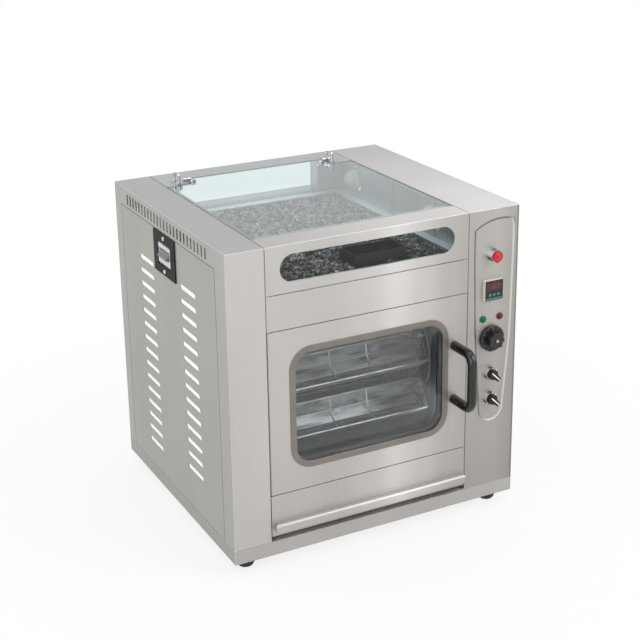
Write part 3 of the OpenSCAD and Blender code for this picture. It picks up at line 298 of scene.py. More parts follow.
def piece(name, form, material, body, crease=40):
    """Makes a piece of a bmesh: it rides on a body, takes the finish of a slot, and is sharp above a crease angle."""
    mesh = bpy.data.meshes.new(name)
    form.to_mesh(mesh)
    form.free()
    mesh.materials.append(material)
    mesh.shade_smooth()
    mesh.set_sharp_from_angle(angle=math.radians(crease))
    made = bpy.data.objects.new(name, mesh)
    bpy.context.scene.collection.objects.link(made)
    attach(made, body)
    return made


zinc = surface("zinc_plated_steel", "#babdc0", "#a9acb0", 0.3, patch=5, grain=1.2, depth=0.02, Metallic=0.9)
form = bmesh.new()
spots = [(x, z) for x in SCREW_COLUMNS for z in SCREW_ROWS] + [(x, FRAME_SCREW_Z) for x in SCREW_COLUMNS[::2]]
for index, (x, z) in enumerate(spots):
    join(form, slotted_head(*REAR_SCREW), at(x, REAR_Y, z, TO_BACK, SLOT_STEP * index))
piece("rear_screws", form, zinc, "cabinet")

# Plain sheet inside: deck, drawer runners, hinge brackets and shaft of cold-rolled stainless, folded or turned
# and left with the mill's grey finish, which is smoother and duller than the polished cabinet.
# Its tops take a little painted light and its sides a little painted shade.
dress(satin_sheet("cold_rolled_stainless", ((0, "#8f9394"),), "#8b8f90", ("#94989a", "#94989a"), 0.36, 0.85),
      "oven_deck", "drawer_runners", "door_hinge_brackets", "rack_shaft")

# Rack discs: two stainless discs with lightening holes, cut from sheet and fixed to the shaft.
# The oven's heat has dulled and browned them in clouds, and their edges are rubbed light.
dress(surface("heat_dulled_stainless", "#6f7372", "#565a59", 0.42, patch=40, swirl=0.8, grain=2, depth=0.03,
              edge=2.0, worn="#b0b4b3", Metallic=0.6), "rack_discs")

# Oven liner and inner pan of the door: bright-annealed stainless, darkened by heat.
# The sheet still mirrors softly between broad cloudy stains.
dress(surface("heat_stained_liner", "#a2a5a4", "#8e9290", 0.4, patch=90, swirl=0.8, grain=45, depth=0.4,
              edge=2.0, worn="#a3a8a6", Metallic=0.45), "oven_liner", "door_inner")

# Heating elements: steel tubes filled with magnesia, oxidised dark by use.
# The oxide is rough, with brownish and bluish patches along the tube.
dress(surface("oxidised_heater_tube", "#5e5753", "#46474b", 0.55, patch=18, grain=1.2, Metallic=0.5), "heaters")

# Bushes and gear motor: sintered bronze bushes, and a cast housing in hammered grey paint.
# Bronze is dull and warm; the paint has small shallow dimples.
dress(surface("sintered_bronze", "#a08348", "#8f7540", 0.4, patch=6, Metallic=0.9), "shaft_bushes")
dress(surface("hammered_grey_paint", "#72777c", "#686d72", 0.35, grain=3, depth=0.2, Coat_Weight=0.3), "gear_motor")

# Trays: troughs of thin bright stainless, folded, hemmed and fitted with dividers.
# Handling and heat leave soft light and dark streaks along each tray, over faint dents.
dress(surface("folded_bright_stainless", "#a8acad", "#54595b", 0.4, patch=20, stretch=(5, 1, 1), swirl=1.4,
              grain=30, depth=0.6, edge=1.5, Metallic=0.6), *(f"tray_{i}" for i in range(1, 7)))

# Tray beads: rolled hems, pressed folds and round divider ribs of each tray, polished bright.
# Each mirrors the light at the window as a fine line, and all of them turn and hang with their tray.
bead_steel = surface("polished_tray_bead", "#d8dcdd", "#a9aeb0", 0.3, patch=40, grain=3, depth=0.02,
                     Metallic=0.8)
SHAFT_Y, SHAFT_Z, PIN_CIRCLE, TRAY_ENDS = 225.0, 323.0, 115.0, (136.5, 530.5)
TROUGH = ((34, -2), (29, -32), (13, -54), (-18, -62), (-38, -46))
HEM, FOLD, RIB = 2.75, 1.35, 2.4
FIRST_GAP, GAPS, HALF_DIVIDER = 0.85, 4.15, 1.3
RIB_PLACES = [TRAY_ENDS[0] + (n + FIRST_GAP) / GAPS * (TRAY_ENDS[1] - TRAY_ENDS[0]) + HALF_DIVIDER for n in range(3)]


def pin_spot(tray):
    """Depth and height in mm of a tray's pin on the discs."""
    angle = math.radians(30 + 60 * tray)
    return SHAFT_Y - PIN_CIRCLE * math.cos(angle), SHAFT_Z + PIN_CIRCLE * math.sin(angle)


def skin(part, rings, closed=False):
    """Joins rings of vertices with faces; the first and last are capped, or joined when the form is closed."""
    for low, high in zip(rings, rings[1:] + rings[:1] if closed else rings[1:]):
        for k in range(len(low)):
            n = (k + 1) % len(low)
            part.faces.new([low[k], low[n], high[n], high[k]])
    if not closed:
        part.faces.new(rings[0])
        part.faces.new(rings[-1])
    return part


def wire_form(points, radius, across, sides=10):
    """A round wire through points in mm; across is a direction square to the whole wire."""
    part = bmesh.new()
    points, across = [Vector(point) for point in points], Vector(across)
    rings = []
    for k, point in enumerate(points):
        run = (points[min(k + 1, len(points) - 1)] - points[max(k - 1, 0)]).normalized()
        lift = run.cross(across)
        rings.append([part.verts.new((point + radius * (math.cos(a) * across + math.sin(a) * lift)) / 1000)
                      for a in (2 * math.pi * j / sides for j in range(sides))])
    return skin(part, rings)


for i in range(6):
    pin = at(0, *pin_spot(i))
    form = bmesh.new()
    for (y, z), radius in zip(TROUGH, (HEM, FOLD, FOLD, FOLD, HEM)):
        line = [(TRAY_ENDS[0] + 0.2, y, z), (TRAY_ENDS[1] - 0.2, y, z)]
        join(form, wire_form(line, radius, (0, 1, 0), 12), pin)
    for x in RIB_PLACES:
        join(form, wire_form([(x, y, z) for y, z in TROUGH], RIB, (1, 0, 0)), pin)
    piece(f"tray_beads_{i + 1}", form, bead_steel, f"tray_body_{i + 1}", 35)

# Pin collars: polished stainless spacers on the disc's pins, between each disc and the tray's end.
# They are mirror bright, so a small light shows at both ends of every tray.
polished = surface("polished_stainless", "#e2e4e5", "#d2d5d6", 0.14, grain=3, depth=0.02, Metallic=0.95)
TO_LEFT = Matrix(((0, 0, -1, 0), (-1, 0, 0, 0), (0, 1, 0, 0), (0, 0, 0, 1)))
TO_RIGHT = Matrix(((0, 0, 1, 0), (1, 0, 0, 0), (0, 1, 0, 0), (0, 0, 0, 1)))
COLLAR = 11.4
SPACER = ((0, 0.5), (6.4, 0.5), (6.8, 1.2), (6.8, 4), (5.0, 5), (5.0, COLLAR), (0, COLLAR))
form = bmesh.new()
for i in range(6):
    for end, way in zip(TRAY_ENDS, (TO_LEFT, TO_RIGHT)):
        join(form, turned_form(SPACER, 24), at(end, *pin_spot(i), way))
piece("pin_collars", form, polished, "rack")


# Panes: tempered soda-lime glass, clear with a faint green tint from its iron, which shows most in the lid. The
# ground edges are dull and dark, and lamplight passes the faces. The front panes carry a heat-reflecting coat
# that keeps their mirror low, so their IOR is set low, and the lid's a little, to show the stones below it.
def pane(name, tint, edge, ior, facing, passing="#fcffff"):
    """Clear glass; passing tints the lamplight through a face, and its edges are turned away from facing."""
    material = blank_material(name)
    glass = add(material, "BsdfPrincipled", {"Base Color": hue(tint), "Roughness": 0.0, "Transmission Weight": 1.0,
                                             "IOR": ior}).outputs[0]
    clear = add(material, "BsdfTransparent", {"Color": hue(passing)}).outputs[0]
    rays = add(material, "LightPath").outputs["Is Shadow Ray"]
    both = add(material, "MixShader", {0: rays, 1: glass, 2: clear}).outputs[0]
    ground = add(material, "BsdfPrincipled", {"Base Color": hue(edge), "Roughness": 0.5}).outputs[0]
    on_face = own_normal(material, "True Normal")[facing]
    on_face = add(material, "Math", {0: on_face}, operation="ABSOLUTE").outputs[0]
    on_face = add(material, "MapRange", {"Value": on_face, "From Min": 0.6, "From Max": 0.7}).outputs[0]
    both = add(material, "MixShader", {0: on_face, 1: ground, 2: both}).outputs[0]
    add(material, "OutputMaterial", {"Surface": both})
    return material


dress(pane("tempered_lid_glass", "#e9f3f3", "#5c6366", 1.4, "Z"), "lid_glass")
dress(pane("tempered_rear_glass", "#eef7f6", "#7d8a89", 1.46, "Y"), "rear_glass")
dress(pane("coated_oven_glass", "#f8f9f9", "#5c6366", 1.37, "Y", "#c4c4c4"), "door_glass")
dress(pane("coated_fascia_glass", "#f8f9f9", "#3c4245", 1.3, "Y"), "fascia_glass")

# Pane spacer: a folded channel of satin stainless between the door's two panes, round the window.
# It closes the hollow of the door, and shows as a grey reveal on the window's far side.
TO_FRONT = Matrix(((1, 0, 0, 0), (0, 0, -1, 0), (0, 1, 0, 0), (0, 0, 0, 1)))
RIM_MIDDLE, RIM_SIZE = (334.0, 330.5), (364.0, 253.0, 38.0)
SPACER_FRONT, SPACER_REAR, SPACER_IN, SPACER_OUT = 5.8, 24.2, 0.4, 2.4


def outline(width, height, radius, x=0.0, y=0.0, steps=6):
    """Points round a rectangle with round corners, in mm."""
    points = []
    for quarter, (sx, sy) in enumerate(((1, 1), (-1, 1), (-1, -1), (1, -1))):
        for k in range(steps + 1):
            angle = math.pi / 2 * (quarter + k / steps)
            points.append((x + sx * (width / 2 - radius) + radius * math.cos(angle),
                           y + sy * (height / 2 - radius) + radius * math.sin(angle)))
    return points


def frame_form(sections):
    """A closed ring: each section is (points round the ring, height in mm), and the last joins the first."""
    part = bmesh.new()
    rings = [[part.verts.new(Vector((x, y, height)) / 1000) for x, y in points] for points, height in sections]
    return skin(part, rings, closed=True)


width, height, radius = RIM_SIZE
sections = [(outline(width + grow, height + grow, radius + grow / 2, steps=10), -depth)
            for grow, depth in ((SPACER_IN, SPACER_FRONT), (SPACER_IN, SPACER_REAR),
                                (SPACER_OUT, SPACER_REAR), (SPACER_OUT, SPACER_FRONT))]
form = bmesh.new()
join(form, frame_form(sections), at(RIM_MIDDLE[0], 0, RIM_MIDDLE[1], TO_FRONT))
piece("pane_spacer", form, surface("satin_spacer_steel", "#6b6a6e", "#5c5c60", 0.45, patch=60, grain=2, depth=0.02,
                                   Metallic=0.1), "door")

# Window rim: a pressed ring of satin anodised aluminium that clamps the outer pane to the door.
# The anodising is greyed to a warm beige, and its edge is rubbed lighter.
dress(surface("warm_grey_anodised_aluminium", "#847f78", "#7c7771", 0.42, grain=0.8, depth=0.02, edge=1.0,
              worn="#9a968e", Metallic=0.5), "window_rim")

# Door seal: a flat extruded profile of grey-brown silicone, on the flange round the oven's mouth.
# Silicone is matt, slightly waxy, and lets a little light in.
dress(surface("extruded_silicone", "#8a8378", "#7f786e", 0.55, grain=1.5, Subsurface_Weight=0.1), "door_seal")

# Door handle and main dial: compression-moulded black phenolic resin. The handle is buffed to a deep gloss with
# the faintest orange peel; the dial is dulled to satin by many hands.
dress(surface("buffed_phenolic", "#0e0e10", "#0b0b0d", 0.18, grain=5, depth=0.04, edge=0.8, Coat_Weight=0.2,
              Coat_Roughness=0.06), "door_handle")
satin_phenolic = surface("satin_phenolic", "#222224", "#1b1b1d", 0.34, patch=12, grain=5, depth=0.04, edge=1.2)
dress(satin_phenolic, "dial_knob")

# Warming tub: deep-drawn bright stainless with a stepped ledge, polished inside, set in by its flange.
# Its walls mirror softly; their sideways faces carry a little painted light, the ledge a painted cool light, and the
# flange under the lid painted shade.
dress(satin_sheet("polished_tub_steel", ((0, "#8b9193"),), "#8f989c", ("#edf5f8", "#2f3537"), 0.3, 0.5, 2.2,
                  ("#949da0", "#949da0"), (0, 0, 1), (0.66, 0.70)), "warming_tub")

# Stones: a bed of dark lava pebbles, tumbled, in many sizes and lying at all angles.
# Lava is rough and porous and nearly black; light grey streaks in random patches over it are painted highlights.
BED_LOW, BED_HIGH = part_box("stones")
BOX_LOW, BOX_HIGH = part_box("stone_box")
STONES, STONE_RADII, STONE_LUMP, STONE_SEED = 1500, (0.0045, 0.0105), 0.4, 7
BED_CREST, BED_RISE, BED_CLEAR = 0.001, 0.004, 0.0005


def pebble_pile():
    """Tumbled stones that cover the bed, clear of the black box."""
    rng = random.Random(STONE_SEED)
    ball = bmesh.new()
    bmesh.ops.create_icosphere(ball, subdivisions=2, radius=1)
    ball.verts.ensure_lookup_table()
    round_points = [vert.co.copy() for vert in ball.verts]
    round_faces = [[vert.index for vert in face.verts] for face in ball.faces]
    ball.free()
    points, faces = [], []
    top = BED_HIGH.z - BED_CREST
    for _ in range(STONES):
        r = rng.uniform(*STONE_RADII)
        x, y = rng.uniform(BED_LOW.x + r, BED_HIGH.x - r), rng.uniform(BED_LOW.y + r, BED_HIGH.y - r)
        z = top - r * rng.uniform(0.5, 1.2)
        squash = Vector((1.1, rng.uniform(0.55, 0.9), rng.uniform(0.4, 0.75)))
        turn = Matrix.Rotation(rng.uniform(0, 6.28), 3, "Z") @ Matrix.Rotation(rng.uniform(-0.9, 0.9), 3, "X")
        seed = Vector((rng.uniform(0, 50), rng.uniform(0, 50), rng.uniform(0, 50)))
        if BOX_LOW.x - r < x < BOX_HIGH.x + r and BOX_LOW.y - r < y < BOX_HIGH.y + r:
            continue
        faces += [[len(points) + k for k in face] for face in round_faces]
        for point in round_points:
            lump = r * (1 + STONE_LUMP * noise.noise(point * 1.6 + seed))
            spot = Vector((x, y, z)) + turn @ Vector(a * b for a, b in zip(point * lump, squash))
            spot.z = max(BED_LOW.z + BED_CLEAR, min(spot.z, BED_HIGH.z + BED_RISE))
            points.append(spot)
    mesh = bpy.data.meshes.new("part")
    mesh.from_pydata(points, [], faces)
    pile = bmesh.new()
    pile.from_mesh(mesh)
    bpy.data.meshes.remove(mesh)
    return pile


lava = surface("tumbled_lava_stone", "#101010", "#949493", 0.34, patch=13, swirl=1.4, grain=1.6, depth=0.5,
               limits=(0.45, 0.66), Specular_IOR_Level=0.35)
pebbles = piece("pebbles", pebble_pile(), lava, "cabinet", 35)
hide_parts("stones")

# Grit below the stones: a thin layer of broken lava that fills the gaps between them.
# It is black and dusty, and lies on the tub's floor.
GRIT_THICKNESS, GRIT_LUMP, GRIT_CELLS, LUMPS_PER_METRE = 0.003, 0.001, 60, 150
broken = surface("broken_lava_grit", "#1a1a1a", "#101010", 0.9, patch=6, grain=3, depth=1.0)
grit = bmesh.new()
bmesh.ops.create_grid(grit, x_segments=GRIT_CELLS, y_segments=GRIT_CELLS, size=0.5)
grit_edge = sorted((vert for vert in grit.verts if vert.is_boundary),
                   key=lambda vert: math.atan2(vert.co.y, vert.co.x))
span = BED_HIGH - BED_LOW
for vert in grit.verts:
    x, y = BED_LOW.x + (vert.co.x + 0.5) * span.x, BED_LOW.y + (vert.co.y + 0.5) * span.y
    lump = GRIT_LUMP * noise.noise(Vector((x, y, 0)) * LUMPS_PER_METRE)
    vert.co = Vector((x, y, BED_LOW.z + GRIT_THICKNESS + lump))
foot = [grit.verts.new((vert.co.x, vert.co.y, BED_LOW.z)) for vert in grit_edge]
for k in range(len(grit_edge)):
    n = (k + 1) % len(grit_edge)
    grit.faces.new([grit_edge[k], grit_edge[n], foot[n], foot[k]])
grit.faces.new(foot)
bmesh.ops.recalc_face_normals(grit, faces=grit.faces[:])
piece("grit", grit, broken, "cabinet")

# Black box among the stones: an open box of folded sheet steel in black stove enamel, set in the bed.
# The enamel is half-glossy and slightly uneven, and its edges are worn lighter.
dress(surface("black_stove_enamel", "#0c0c0d", "#080809", 0.4, grain=12, depth=0.12, edge=0.8, worn="#28282a",
              Specular_IOR_Level=0.25), "stone_box")

# Compartment lamps: frosted glass globes in round holders of glazed porcelain. Three domed nuts
# round each holder clamp its flange to the wall.
WALL_X, LAMP_Y, LAMP_Z, NUT_CIRCLE, NUT_TURNS = 578.5, (150.0, 510.0), 652.0, 33.0, (100, 215, 330)
NUT = ((0, -0.3), (6, -0.3), (6, 0.8), (4.8, 0.8), (4.8, 3.2), (3.6, 4.8), (2, 6), (0, 6.4))
dress(surface("glazed_porcelain", "#b7bbbd", "#aeb2b5", 0.18, grain=8, edge=1.0, Coat_Weight=0.4), "lamp_holders")
dress(surface("frosted_glass", "#d3dddd", "#cad4d5", 0.3, grain=0.7, depth=0.03, Transmission_Weight=0.5, IOR=1.46),
      "lamp_globes")
form = bmesh.new()
for y in LAMP_Y:
    for angle in (math.radians(turn) for turn in NUT_TURNS):
        place = at(WALL_X, y + NUT_CIRCLE * math.cos(angle), LAMP_Z + NUT_CIRCLE * math.sin(angle), TO_LEFT)
        join(form, turned_form(NUT, 12), place)
piece("lamp_nuts", form, polished, "cabinet")

# Lid fittings, collars and bezels: turned brass with bright chrome plate, screwed to the sheet.
# Chrome is a mirror; its reflection is painted as light and dark streaks that follow the way each face turns.
STREAKS, STREAK_SPAN = 3.0, {"From Min": -0.9, "From Max": 0.5}


def chrome_plate(name, dark, light):
    """Bright plate with a painted reflection: dark streaks that follow the way a turned piece's faces look."""
    material = blank_material(name)
    turn = add(material, "SeparateXYZ", {0: add(material, "NewGeometry").outputs["Normal"]}).outputs
    angle = add(material, "Math", {0: turn["Z"], 1: turn["X"]}, operation="ARCTAN2").outputs[0]
    angle = add(material, "Math", {0: angle, 1: STREAKS, 2: turn["Y"]}, operation="MULTIPLY_ADD").outputs[0]
    streak = add(material, "Math", {0: angle}, operation="SINE").outputs[0]
    streak = add(material, "MapRange", {"Value": streak, **STREAK_SPAN}).outputs[0]
    tint = add(material, "Mix", {0: streak, 6: hue(dark), 7: hue(light)}, data_type="RGBA").outputs[2]
    soft = add(material, "Bevel", {"Radius": 0.0005}, samples=4).outputs[0]
    shader = add(material, "BsdfPrincipled", {"Base Color": tint, "Roughness": 0.12, "Metallic": 1.0,
                                              "Normal": soft}).outputs[0]
    add(material, "OutputMaterial", {"Surface": shader})
    return material


dress(chrome_plate("bright_chrome_plate", "#44474d", "#fafbfc"), "button_collar", "selector_bezels")
dress(chrome_plate("bright_chrome_fittings", "#a6a8ab", "#f4f5f6"), "lid_clamps", "lid_hinge_bases")

# Breaker: a light grey polyamide body in a matt black ABS escutcheon, with a grey ABS toggle bar.
# The mouldings are satin, with a fine spark-eroded texture.
dress(surface("moulded_grey_polyamide", "#aeb0af", "#a6a8a7", 0.45, grain=0.7), "breaker_body")
dress(surface("matt_black_abs", "#141517", "#101113", 0.5, grain=0.9, edge=0.6, Specular_IOR_Level=0.15),
      "breaker_escutcheon")
dress(surface("grey_toggle_abs", "#84868a", "#6f7175", 0.35, patch=4, stretch=(1, 1, 8), grain=0.9), "breaker_lever")

# Module fronts and screws: white covers clipped on the breaker above and below the toggle bar, and
# the two bright slotted screws that hold the escutcheon. Polyamide is satin and faintly grey.
BREAKER_Y, BREAKER_Z, MODULE_PITCH, MODULE_HALF = 328.0, 605.5, 17.6, 8.4
COVER_X, COVER_SPANS, COVER_BACK, COVER_FACE = -1.0, ((12.8, 22.3), (-22.3, -8.6)), -0.4, 1.0
SCREW_X, SCREW_SPOTS, COVER_SCREW = -2.5, ((38.0, 20), (-38.0, 65)), (5.0, 2.6)


def padded_box(low, high, radius=0.6, segments=2):
    """A box with rounded edges; low and high are its corners in mm."""
    part = bmesh.new()
    bmesh.ops.create_cube(part, size=1.0)
    for vert in part.verts:
        vert.co = Vector([(a + b) / 2 + v * (b - a) for a, b, v in zip(low, high, vert.co)]) / 1000
    bmesh.ops.bevel(part, geom=part.edges[:], offset=radius / 1000, segments=segments, affect="EDGES", profile=0.5)
    return part


form = bmesh.new()
for k in range(4):
    middle = (k - 1.5) * MODULE_PITCH
    for low, high in COVER_SPANS:
        join(form, padded_box((middle - MODULE_HALF, low, COVER_BACK), (middle + MODULE_HALF, high, COVER_FACE)),
             at(COVER_X, BREAKER_Y, BREAKER_Z, TO_LEFT))
piece("module_fronts", form, surface("white_polyamide", "#dfe1e0", "#d6d8d7", 0.4, grain=0.7), "cabinet")
form = bmesh.new()
for rise, turned in SCREW_SPOTS:
    join(form, slotted_head(*COVER_SCREW), at(SCREW_X, BREAKER_Y, BREAKER_Z + rise, TO_LEFT, turned))
piece("escutcheon_screws", form, polished, "cabinet")

# Border of the pressed control field: the press leaves a soft slope round the field in the satin steel, 1.4 mm
# deep. The slope's tone follows the way it faces: painted shade on the left and a painted highlight on the right.
FIELD_X, FIELD_TOP, FIELD_HALF, FIELD_DEPTH, SLOPE = 647.0, 700.0, 53.0, 1.45, 4.5
ARCH_MIDDLE, ARCH_RADIUS, FOOT_MIDDLE, FOOT_RADIUS = (16, -140), 118, -474, 34
SHADE_TURN, SHADE_SPAN, SLOPE_GRAIN = -0.9, {"From Min": -0.25, "From Max": 0.25}, 400.0


def field_outline():
    """Points round the pressed field: a flat arch above, straight sides and a tapered round foot."""
    arch = [(ARCH_MIDDLE[0] + ARCH_RADIUS * math.cos(a), ARCH_MIDDLE[1] + ARCH_RADIUS * math.sin(a)) for a in
            (math.radians(d) for d in range(70, 126, 5))]
    arch = [(x, y) for x, y in arch if -FIELD_HALF < x < FIELD_HALF]
    left = [(-FIELD_HALF, -66), (-FIELD_HALF, -110), (-FIELD_HALF + 2.5, -196), (-FIELD_HALF + 5, -282)]
    foot = [(FOOT_RADIUS * math.cos(a), FOOT_MIDDLE + FOOT_RADIUS * math.sin(a)) for a in
            (math.radians(d) for d in range(176, 365, 9))]
    right = [(FIELD_HALF - 4, -302), (FIELD_HALF - 2, -206), (FIELD_HALF, -110), (FIELD_HALF, -46),
             (FIELD_HALF - 1.2, -38), (FIELD_HALF - 4, -32)]
    return [(FIELD_X + x, FIELD_TOP + y) for x, y in arch + left + foot + right]


def inset(points, distance):
    """The same points moved inwards; they run anticlockwise."""
    moved = []
    for k, (x, y) in enumerate(points):
        (x0, y0), (x1, y1) = points[k - 1], points[(k + 1) % len(points)]
        length = math.hypot(x1 - x0, y1 - y0)
        moved.append((x - (y1 - y0) / length * distance, y + (x1 - x0) / length * distance))
    return moved


border = field_outline()
sections = [(inset(border, 0.2), -1.6), (inset(border, 0.2), -0.05), (inset(border, SLOPE * 0.45), -0.5),
            (inset(border, SLOPE), -FIELD_DEPTH), (inset(border, SLOPE), -1.6)]
form = bmesh.new()
join(form, frame_form(sections), at(0, 0, 0, TO_FRONT))
slope = blank_material("pressed_satin_slope")
lean = add(slope, "SeparateXYZ", {0: add(slope, "NewGeometry").outputs["Normal"]}).outputs
lean = add(slope, "Math", {0: lean["Z"], 1: SHADE_TURN, 2: lean["X"]}, operation="MULTIPLY_ADD").outputs[0]
lean = add(slope, "MapRange", {"Value": lean, **SHADE_SPAN}).outputs[0]
tint = add(slope, "Mix", {0: lean, 6: hue("#d0cdca"), 7: hue("#7a7672")}, data_type="RGBA").outputs[2]
place = add(slope, "TexCoord").outputs["Object"]
lines = add(slope, "TexNoise", {"Vector": place, "Scale": SLOPE_GRAIN}).outputs[0]
bump = add(slope, "Bump", {"Height": lines, "Distance": GRAIN_DEPTH}).outputs[0]
shader = add(slope, "BsdfPrincipled", {"Base Color": tint, "Roughness": 0.4, "Metallic": 0.6, "Normal": bump})
add(slope, "OutputMaterial", {"Surface": shader.outputs[0]})
piece("field_border", form, slope, "cabinet", 60)

# Push button lens: a round cap of moulded red acrylic, sprung in its chrome collar.
# Acrylic is glossy and lets a little light into its depth.
dress(surface("red_acrylic", "#c8101a", "#bc0e17", 0.2, grain=4, Coat_Weight=0.15, Subsurface_Weight=0.1),
      "button_lens")

# Panel meter: a cream ABS case, three grey keys, and a black front of printed polycarbonate
# with a smoked display window and a teal band along its foot.
CONTROL_X, METER_FACE, METER_Z, METER_SIDE = 644.0, -7.5, 513.0, 46.6
KEY_DROP, KEY_PITCH, KEY_HOLE, KEY_RING = -10.0, 11.0, 5.6, (7.6, 6.2)
WINDOW_SIZE, WINDOW_RISE, BAND_SIZE, BAND_RISE = (38, 17), 9.5, (45, 4.6), -19.6
dress(surface("cream_abs", "#ded9c6", "#d8d3c0", 0.4, grain=0.8), "meter_case")
dress(surface("grey_key_rubber", "#7f8486", "#767b7d", 0.5, grain=0.6, depth=0.03, edge=0.3),
      "meter_key_1", "meter_key_2", "meter_key_3")


def plate(outlines, low, high):
    """A flat plate between two heights in mm; the first outline is its edge, the others are holes."""
    curve = bpy.data.curves.new("plate", "CURVE")
    curve.dimensions, curve.fill_mode, curve.extrude = "2D", "BOTH", (high - low) / 2000
    for points in outlines:
        spline = curve.splines.new("POLY")
        spline.points.add(len(points) - 1)
        for point, (x, y) in zip(spline.points, points):
            point.co = (x / 1000, y / 1000, 0, 1)
        spline.use_cyclic_u = True
    source = bpy.data.objects.new("plate", curve)
    mesh = bpy.data.meshes.new_from_object(source)
    part = bmesh.new()
    part.from_mesh(mesh)
    bmesh.ops.remove_doubles(part, verts=part.verts[:], dist=1e-6)
    bmesh.ops.translate(part, verts=part.verts[:], vec=(0, 0, (low + high) / 2000))
    bpy.data.meshes.remove(mesh)
    bpy.data.objects.remove(source)
    bpy.data.curves.remove(curve)
    return part


meter_front = at(CONTROL_X, METER_FACE, METER_Z, TO_FRONT)
form = bmesh.new()
key_holes = [outline(KEY_HOLE, KEY_HOLE, KEY_HOLE / 2 - 0.01, KEY_PITCH * k, KEY_DROP) for k in (-1, 0, 1)]
join(form, plate([outline(METER_SIDE, METER_SIDE, 1.4)] + key_holes, 0.0, 0.45), meter_front)
piece("meter_front", form, surface("printed_polycarbonate", "#1d1f20", "#18191a", 0.28, grain=0.5, depth=0.02),
      "cabinet", 30)
form = bmesh.new()
join(form, plate([outline(*WINDOW_SIZE, 1.0, 0, WINDOW_RISE)], 0.4, 0.6), meter_front)
piece("meter_window", form, surface("smoked_display_window", "#38201f", "#301a1a", 0.12, grain=5, depth=0.02,
                                    Coat_Weight=0.3), "cabinet", 30)
form = bmesh.new()
join(form, plate([outline(*BAND_SIZE, 0.8, 0, BAND_RISE)], 0.4, 0.52), meter_front)
for k in (-1, 0, 1):
    ring = [outline(size, size, size / 2 - 0.01, KEY_PITCH * k, KEY_DROP) for size in KEY_RING]
    join(form, plate(ring, 0.4, 0.5), meter_front)
piece("meter_band", form, surface("teal_printed_band", "#2f7f78", "#2a756f", 0.35, grain=0.5, depth=0.02),
      "cabinet", 30)

# Meter digits: seven-segment figures of red light-emitting bars behind the window, and a small
# status light. They glow dimly, and show a set temperature.
led = surface("red_light_segment", "#a8322f", "#a0302d", 0.4, grain=0.5, depth=0.01, Emission_Color=hue("#ff4a3c"),
              Emission_Strength=0.1)
LONG, THIN, DIGIT_LEAN, DIGIT_PLACES, STATUS_SPOT = 3.6, 0.9, 0.1, (-8.5, 0.5, 9.5), (-16, 14)
SEGMENTS = {"0": "abcdef", "1": "bc", "8": "abcdefg"}
BARS = {"a": (0, 4.6, LONG, THIN), "b": (2.3, 2.3, THIN, LONG), "c": (2.3, -2.3, THIN, LONG),
        "d": (0, -4.6, LONG, THIN), "e": (-2.3, -2.3, THIN, LONG), "f": (-2.3, 2.3, THIN, LONG),
        "g": (0, 0, LONG, THIN)}
form = bmesh.new()
for digit_x, figure in zip(DIGIT_PLACES, "180"):
    for x, y, width, height in (BARS[bar] for bar in SEGMENTS[figure]):
        bar = outline(width, height, 0.3, digit_x + x + DIGIT_LEAN * y, WINDOW_RISE + y, 2)
        join(form, plate([bar], 0.6, 0.68), meter_front)
join(form, plate([outline(1.8, 1.8, 0.89, *STATUS_SPOT)], 0.6, 0.7), meter_front)
piece("meter_digits", form, led, "cabinet", 30)

# Indicator lamps: domed lenses of moulded green and red acrylic, pushed into the panel over their bulbs.
# They are unlit, so the acrylic is deep and dark with a soft gloss.
dress(surface("green_acrylic", "#12603c", "#0f5535", 0.22, grain=2, Specular_IOR_Level=0.3), "indicator_green")
dress(surface("dark_red_acrylic", "#6a0f18", "#600d15", 0.22, grain=2, Specular_IOR_Level=0.3), "indicator_red")

# Dial trim: a raised bead round the skirt, a grey pointer and ticks let into it and worn dull, and the bright
# slotted screw that holds the knob on its spindle.
DIAL_Z, DIAL_FACE, DIAL_CAP, BEAD_STEPS, SPINDLE_SCREW = 397.0, 1.2, 27.0, 64, (3.4, 1.6)
BEAD = ((24.5, 7.8), (25.2, 8.8), (26.4, 9.3), (28.2, 9.3), (29.6, 8.6), (30.3, 7.4), (30.3, 7.0), (24.5, 7.0))
POINTER, TICK = ((-0.8, 19.0, 7.9), (0.8, 26.5, 9.5)), ((-0.7, 25.2, 8.6), (0.7, 28.6, 9.6))
dial_front = at(CONTROL_X, DIAL_FACE, DIAL_Z, TO_FRONT)
circle = [(math.cos(a), math.sin(a)) for a in (2 * math.pi * k / BEAD_STEPS for k in range(BEAD_STEPS))]
form = bmesh.new()
join(form, frame_form([([(radius * c, radius * s) for c, s in circle], height) for radius, height in BEAD]), dial_front)
piece("dial_bead", form, satin_phenolic, "dial")
form = bmesh.new()
join(form, padded_box(*POINTER, 0.2, 1), dial_front)
for k in range(1, 12):
    join(form, padded_box(*TICK, 0.2, 1), dial_front @ Matrix.Rotation(k * math.pi / 6, 4, "Z"))
piece("dial_pointer", form, surface("worn_grey_inlay", "#8e9295", "#7c8083", 0.4, grain=0.6, depth=0.02, edge=0.2),
      "dial")
form = bmesh.new()
join(form, slotted_head(*SPINDLE_SCREW), at(CONTROL_X, DIAL_FACE - DIAL_CAP, DIAL_Z, TO_FRONT, 28))
piece("dial_screw", form, zinc, "dial")

# Selectors: a round black ABS head in its bezel and a bow-shaped lever across it, moulded in one,
# with a white enamel line inlaid along the ridge of the bow. The ABS is satin with a fine texture.
SELECTOR_Z = {"upper": 311.0, "lower": 250.0}
SELECTOR_SEAT, POINTS_DOWN = -1.8, -45.0
HEAD = ((0, 0), (11.7, 0), (11.7, 13.2), (11.2, 14.4), (10, 15), (0, 15.2))
black_abs = surface("textured_black_abs", "#202124", "#1b1c1f", 0.36, grain=0.9, edge=0.6, Specular_IOR_Level=0.3)
white_inlay = surface("white_enamel_inlay", "#ececea", "#e4e4e1", 0.35, grain=0.6, depth=0.02, edge=0.2)


